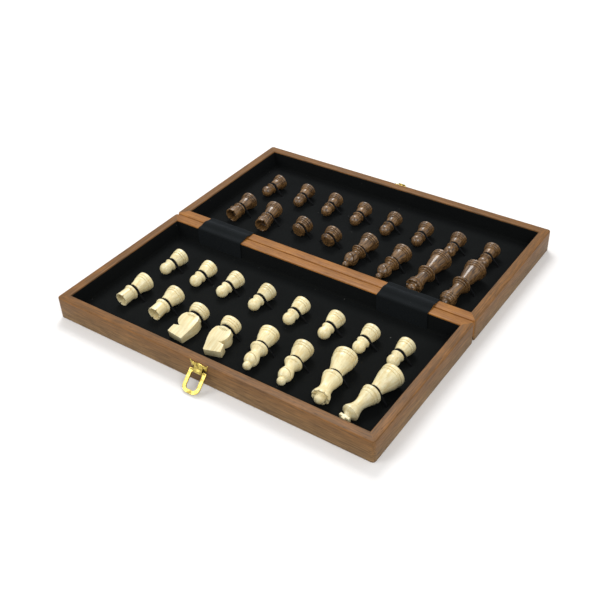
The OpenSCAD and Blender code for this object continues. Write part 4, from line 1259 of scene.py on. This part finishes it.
@dataclass
class ChessPiece:
    """One piece: where it lies, and the making of its mesh."""

    side: Side
    kind: Kind
    number: int
    x: float
    turn: float
    look: int = 1

    @property
    def node(self) -> str:
        """The CAD node that it stands for."""
        name = f"{self.side.value[0]}_{self.kind.value}"
        return name if self.kind in (Kind.QUEEN, Kind.KING) else f"{name}_{self.number}"

    @property
    def turning(self) -> Turning:
        """Its outline and waist."""
        return TURNINGS[self.side][self.kind]

    def solid(self) -> Solid:
        """Its mesh, standing on Z 0."""
        body = lathe(self.turning.outline, 80, self.carving())
        if self.kind is Kind.BISHOP:
            self.cut_mitre(body)
        if self.kind is Kind.KING:
            body.combined(self.cross(), "UNION")
        if self.kind is Kind.KNIGHT:
            body.combined(self.horse(), "UNION")
        return body

    def carving(self) -> Callable[[float, float, float], Point] | None:
        """How the turned outline changes round the axis: a rook's notches or a queen's scallops."""
        if self.kind is Kind.ROOK:
            def notches(s: float, r: float, angle: float) -> Point:
                inside = abs((angle / (math.pi / 3) + 0.5) % 1.0 - 0.5) < 0.06
                return (min(s, 28.75), r) if inside and s > 28.8 else (s, r)
            return notches
        if self.kind is Kind.QUEEN:
            def scallops(s: float, r: float, angle: float) -> Point:
                if s < 43.8 or r < 5.0:
                    return s, r
                lobe = abs(math.cos(4.5 * angle)) ** 0.7
                return s + 1.15 * lobe - 0.35, r - 0.35 * (1 - lobe)
            return scallops
        return None

    @staticmethod
    def cut_mitre(body: Solid) -> None:
        """Saws the slanted slit into a bishop's head."""
        blade = block((-8.0, -7.0, -0.5), (3.4, 7.0, 0.5))
        turn = Matrix.Translation((-1.2, 0, 33.4)) @ Matrix.Rotation(math.radians(-34), 4, "Y")
        turn = Matrix.Rotation(math.radians(-75), 4, "Z") @ turn
        body.combined(blade.moved(turn), "DIFFERENCE")

    def cross(self) -> Solid:
        """The chunky cross on a king."""
        wide, thick, top = (1.9, 2.0, 57.6) if self.side is Side.WHITE else (1.6, 1.7, 57.4)
        arm, low, high = wide * 2.3, 53.9, 56.1
        right = [(wide * 0.72, 52.2), (wide * 0.66, low - 0.1), (arm, low - 0.35), (arm, high + 0.15),
                 (wide * 0.7, high - 0.1), (wide * 0.95, top)]
        outline = [*right, *[(-x, z) for x, z in reversed(right)]]
        return prism(outline, -thick, thick, "y").rounded(0.4, 3)

    def horse(self) -> Solid:
        """A knight's flat-sided head: a round neck, a deep notch and a square-cut muzzle."""
        white = self.side is Side.WHITE
        end, lobe = (35.4, 8.3) if white else (33.7, 7.9)
        round_neck = [(lobe * math.cos(a), 17.2 + lobe * math.sin(a)) for a in
                      (math.radians(180 + 50 - 10 * k) for k in range(0, 12))]
        muzzle = [(-1.4, end - 11.0), (-4.6, end - 10.3), (-8.4, end - 9.7), (-9.1, end - 7.0), (-9.7, end - 3.0),
                  (-9.3, end - 2.55), (-2.6, end - 1.3), (4.2, end - 0.1), (4.8, end - 0.5)]
        back: list[Point] = []
        if white:
            back = [(6.0, end - 5.5), (7.4, end - 10.5), (8.2, 19.8)]
        else:
            for k in range(5):
                z = end - 3.4 - 3.2 * k
                x = 5.6 + (end - z) * 0.2
                back += [(x - 0.5, z + 1.0), (x + 0.75, z + 0.1), (x + 0.55, z - 1.1)]
            back += [(8.0, 16.4)]
        back += [(8.1 if white else 7.6, 15.6), (7.0, 12.2), (5.4, 11.0), (-5.4, 11.0)]
        half = 5.1 if white else 4.8
        solid = prism([*round_neck, *muzzle, *back], -half, half, "y")

        def side_edge(a: Vector, b: Vector) -> bool:
            return abs(a.y) > half - 0.01 and abs(b.y) > half - 0.01 and abs(a.y - b.y) < 0.1
        solid.rounded(0.45 if white else 0.35, 3, 50.0, side_edge)
        for hand in (-1, 1):
            mouth = block((-12.0, hand * half - 1.4, end - 5.6), (-6.6, hand * half + 1.4, end - 5.1))
            slant = Matrix.Translation((-9, 0, end - 5)) @ Matrix.Rotation(math.radians(-9), 4, "Y")
            slant = slant @ Matrix.Translation((9, 0, 5 - end))
            if not white:
                solid.combined(mouth.moved(slant), "DIFFERENCE")
            eye = lathe([(-1.0, 0.5), (0.1, 0.75), (0.9, 0.8)], 18)
            spot = Matrix.Translation((-1.6, hand * half, end - 7.0))
            if not white:
                spot = spot @ Matrix.Rotation(math.radians(-90 * hand), 4, "X")
                solid.combined(eye.moved(spot), "DIFFERENCE")

        def taper(p: Vector) -> tuple[float, float, float]:
            share = min(max((p.z - 20.0) / 15.0, 0.0), 1.0)
            return p.x * self.look, p.y * (1 - 0.40 * share), p.z

        solid.bent(taper)
        return solid.work(lambda b: bmesh.ops.recalc_face_normals(b, faces=b.faces))

    def place(self) -> Matrix:
        """Where the standing piece goes when it lies: turned, dropped and moved into its CAD box."""
        lying = Matrix.Rotation(math.radians(self.turn), 4, "Z")
        lying = lying @ Matrix.Rotation(math.radians(90 + self.turning.drop), 4, "X")
        radius = max(r for s, r in self.turning.outline if s < 5)
        ring = [lying @ Vector((radius * math.cos(a), radius * math.sin(a), s))
                for s in (0.7, 3.0) for a in (math.radians(d) for d in range(0, 360, 6))]
        foot = [lying @ Vector(((radius - 0.5) * math.cos(a), (radius - 0.5) * math.sin(a), 0.0))
                for a in (math.radians(d) for d in range(0, 360, 6))]
        low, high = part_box(self.node)
        y = high.y / MM - max(p.y for p in foot)
        z = low.z / MM - min(p.z for p in ring)
        return Matrix.Translation((self.x, y, z)) @ lying

    def build(self, workshop: Workshop, seed: float) -> Matrix:
        """Builds the piece and returns its place."""
        place = self.place()
        workshop.show(f"{self.node}_turned", self.solid(), self.side.value[2], self.node, [self.node], place=place,
                      seed=seed, sharp=38.0)
        return place


@dataclass
class Strap:
    """An elastic loop over a piece's waist: a ribbed band on top, narrow leads down to two slits."""

    piece: ChessPiece
    place: Matrix
    slit_offset: float = 11.0
    air: float = 0.3
    thick: float = 0.62
    band: float = 2.5
    lead: float = 1.35
    floor: float = 4.0

    def feet(self) -> list[tuple[float, float, float]]:
        """The two slits, as X, Y and the piece's turn in radians."""
        along, _ = self.piece.turning.waist
        spots = []
        for hand in (-1, 1):
            flat = self.place @ Vector((hand * self.slit_offset, 0, along))
            below = self.place @ Vector((hand * self.slit_offset, -1, along))
            reach = (flat.z - self.floor) / (flat.z - below.z)
            foot = flat + (below - flat) * reach
            spots.append((foot.x, foot.y, math.radians(self.piece.turn)))
        return spots

    def build(self, workshop: Workshop, seed: float) -> None:
        """Builds the strap on its tray."""
        along, waist = self.piece.turning.waist
        top = self.place @ Vector((0, 0, along))
        lower = self.place @ Vector((0, -1, along))
        height = (top.z - self.floor) / (top.z - lower.z)
        radius = waist + self.air + self.thick / 2
        angle = math.acos(radius / math.hypot(self.slit_offset, height)) - math.atan2(height, self.slit_offset)
        reach = self.slit_offset
        touch = (radius * math.cos(angle), radius * math.sin(angle))
        line: list[tuple[float, float, float]] = [(reach + 0.05, -height - 0.75, 0.0), (reach, -height - 0.2, 0.0)]
        for k in range(1, 9):
            share = k / 9
            sag = 0.25 * math.sin(math.pi * share)
            line.append((reach + (touch[0] - reach) * share, -height + (touch[1] + height) * share - sag, share))
        for k in range(0, 19):
            a = angle + (math.pi - 2 * angle) * k / 18
            line.append((radius * math.cos(a), radius * math.sin(a), 1.0))
        line += [(-x, y, share) for x, y, share in reversed(line[:10])]
        sections = []
        for k, (x, y, share) in enumerate(line):
            a, b = line[max(k - 1, 0)], line[min(k + 1, len(line) - 1)]
            size = math.dist(a[:2], b[:2])
            nx, ny = (b[1] - a[1]) / size, -(b[0] - a[0]) / size
            wide = self.lead + (self.band - self.lead) * min(share * 1.15, 1.0) ** 1.5
            thick = self.thick + (1 - share) * 0.22
            ring = []
            for step in range(24):
                t = 2 * math.pi * step / 24
                across = math.cos(t) * (1 - 0.06 * math.cos(4 * t))
                rib = 0.78 + 0.22 * abs(math.cos(1.5 * math.pi * math.cos(t)))
                out = math.sin(t) * thick / 2 * rib
                ring.append((x + nx * out, y + ny * out, along + across * wide / 2))
            sections.append(ring)
        body = f"{self.piece.side.value[1]}_half"
        name = f"{self.piece.node}_strap"
        strap = workshop.show(name, swept(sections), Finish.ELASTIC, body, [f"{self.piece.side.value[1]}_elastics"],
                              place=self.place, seed=seed, sharp=45.0)
        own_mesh(strap)


@dataclass
class PieceSet:
    """The thirty-two pieces in their rows, and their straps."""

    pitch: float = 32.1
    shift: float = 2.7
    white_turns: tuple[float, ...] = (-3, 1, 5, 5, 9, 8, 8, -9)
    dark_turns: tuple[float, ...] = (0, 10, -2, -1, -4, -4, -4, -3)
    white_shifts: tuple[float, ...] = (-1, 0.7, 0, 0, 0, 0, 1, 9)
    dark_shifts: tuple[float, ...] = (-4.2, -7.5, 0, -1, 1, 2, 3, 2)
    white_pawn_turns: tuple[float, ...] = (-4, 0, -4, -2, 0, 1, 0, -3)
    white_pawn_shifts: tuple[float, ...] = (0, 0, -2.2, -1.8, 0, 1, 1, 0)
    dark_pawn_turns: tuple[float, ...] = (-7, 6, 5, 3, 2, 3, 3, 2)
    rank: tuple[Kind, ...] = (Kind.ROOK, Kind.ROOK, Kind.KNIGHT, Kind.KNIGHT, Kind.BISHOP, Kind.BISHOP,
                              Kind.QUEEN, Kind.KING)
    looks: tuple[int, ...] = (1, 1, 1, -1, 1, 1, 1, 1)
    pieces: list[ChessPiece] = field(default_factory=list)

    def __post_init__(self) -> None:
        """Lays out both rows of both sides."""
        for side in Side:
            white = side is Side.WHITE
            turns, shifts = (self.white_turns, self.white_shifts) if white else (self.dark_turns, self.dark_shifts)
            pawns = self.white_pawn_turns if white else self.dark_pawn_turns
            for i in range(8):
                column = self.shift + (i - 3.5) * self.pitch
                nudge = self.white_pawn_shifts[i] if white else 0.0
                self.pieces.append(ChessPiece(side, Kind.PAWN, i + 1, column + nudge, pawns[i]))
                self.pieces.append(ChessPiece(side, self.rank[i], i % 2 + 1, column + shifts[i], turns[i],
                                              self.looks[i]))

    def build(self, workshop: Workshop) -> dict[str, list[tuple[float, float, float]]]:
        """Builds every piece and strap.

        Args:
            workshop: Makes the pieces.

        Returns:
            The slits in each tray's lining.
        """
        slits: dict[str, list[tuple[float, float, float]]] = {"near": [], "far": []}
        for index, piece in enumerate(self.pieces):
            place = piece.build(workshop, 1.0 + index)
            strap = Strap(piece, place)
            strap.build(workshop, 50.0 + index)
            slits[piece.side.value[1]] += strap.feet()
        return slits


# ---------------------------------------------------------------- the studio


@dataclass
class Studio:
    """A pale floor, a white surround, soft lights and the camera."""

    eye: tuple[float, float, float] = (0.35695, -0.51075, 0.45937)
    right: tuple[float, float, float] = (0.8236, 0.5661, -0.0350)
    up: tuple[float, float, float] = (-0.3224, 0.5181, 0.7922)
    lens: float = 54.27

    def build_floor(self) -> None:
        """Lays the floor just under the case."""
        mesh = bpy.data.meshes.new("studio_floor")
        mesh.from_pydata([(x, y, -0.0002) for x, y in ((-3, -3), (3, -3), (3, 3), (-3, 3))], [], [(0, 1, 2, 3)])
        floor = bpy.data.objects.new("studio_floor", mesh)
        bpy.context.scene.collection.objects.link(floor)
        material, nodes, shader = new_material("studio_paper")
        place = nodes.add("TexCoord").outputs["Object"]
        cloud = nodes.noise(place, 5.0, 2.0)
        nodes.feed(shader.inputs["Base Color"], nodes.mix(cloud, (0.90, 0.895, 0.89, 1), (0.93, 0.925, 0.92, 1)))
        shader.inputs["Roughness"].default_value = 0.9
        shader.inputs["Specular IOR Level"].default_value = 0.1
        mesh.materials.append(material)

    def build_light(self) -> None:
        """A white surround and three soft boxes."""
        world = bpy.data.worlds.new("studio_surround")
        world.use_nodes = True
        world.node_tree.nodes["Background"].inputs[0].default_value = (1.0, 0.99, 0.98, 1.0)
        world.node_tree.nodes["Background"].inputs[1].default_value = 0.62
        bpy.context.scene.world = world
        for name, place, size, power in (("key", (-0.55, 0.75, 1.35), 0.7, 13.0),
                                         ("fill", (0.9, -0.6, 1.1), 0.9, 7.0),
                                         ("front", (-0.7, -1.0, 0.8), 0.8, 4.5)):
            light = bpy.data.lights.new(name, "AREA")
            light.shape, light.size, light.energy = "DISK", size, power
            lamp = bpy.data.objects.new(name, light)
            bpy.context.scene.collection.objects.link(lamp)
            lamp.location = place
            lamp.rotation_euler = (-Vector(place)).to_track_quat("-Z", "Y").to_euler()

    def build_camera(self) -> None:
        """Puts the camera at its measured place."""
        camera = bpy.data.cameras.new("camera")
        camera.lens, camera.sensor_width, camera.clip_start = self.lens, 36.0, 0.01
        holder = bpy.data.objects.new("camera", camera)
        bpy.context.scene.collection.objects.link(holder)
        right, up = Vector(self.right).normalized(), Vector(self.up).normalized()
        back = right.cross(up)
        turn = Matrix((right, up, back)).transposed().to_4x4()
        holder.matrix_world = Matrix.Translation(self.eye) @ turn
        bpy.context.scene.camera = holder
        bpy.context.scene.view_settings.view_transform = "Standard"

    def build(self) -> None:
        """Builds the whole studio."""
        self.build_camera()
        self.build_floor()
        self.build_light()


HARDWARE = ("near_hinge_leaves", "far_hinge_leaves", "hinge_pins", "near_hinge_screws", "far_hinge_screws")


def main() -> None:
    """Builds the studio, the case, the pieces and the clasp."""
    logging.basicConfig(level=logging.INFO, format="%(name)s: %(message)s")
    Studio().build()
    workshop = Workshop()
    slits = PieceSet().build(workshop)
    for side, sign in (("near", -1), ("far", 1)):
        tray = Tray(workshop, side, sign)
        tray.build_rails()
        tray.build_board()
        Lining(workshop, tray, slits[side]).build()
    HingeCovers(workshop).build()
    Clasp(workshop).build()
    for node in HARDWARE:
        workshop.dress(node, Finish.HINGE_BRASS)


if __name__ == "__main__":
    main()
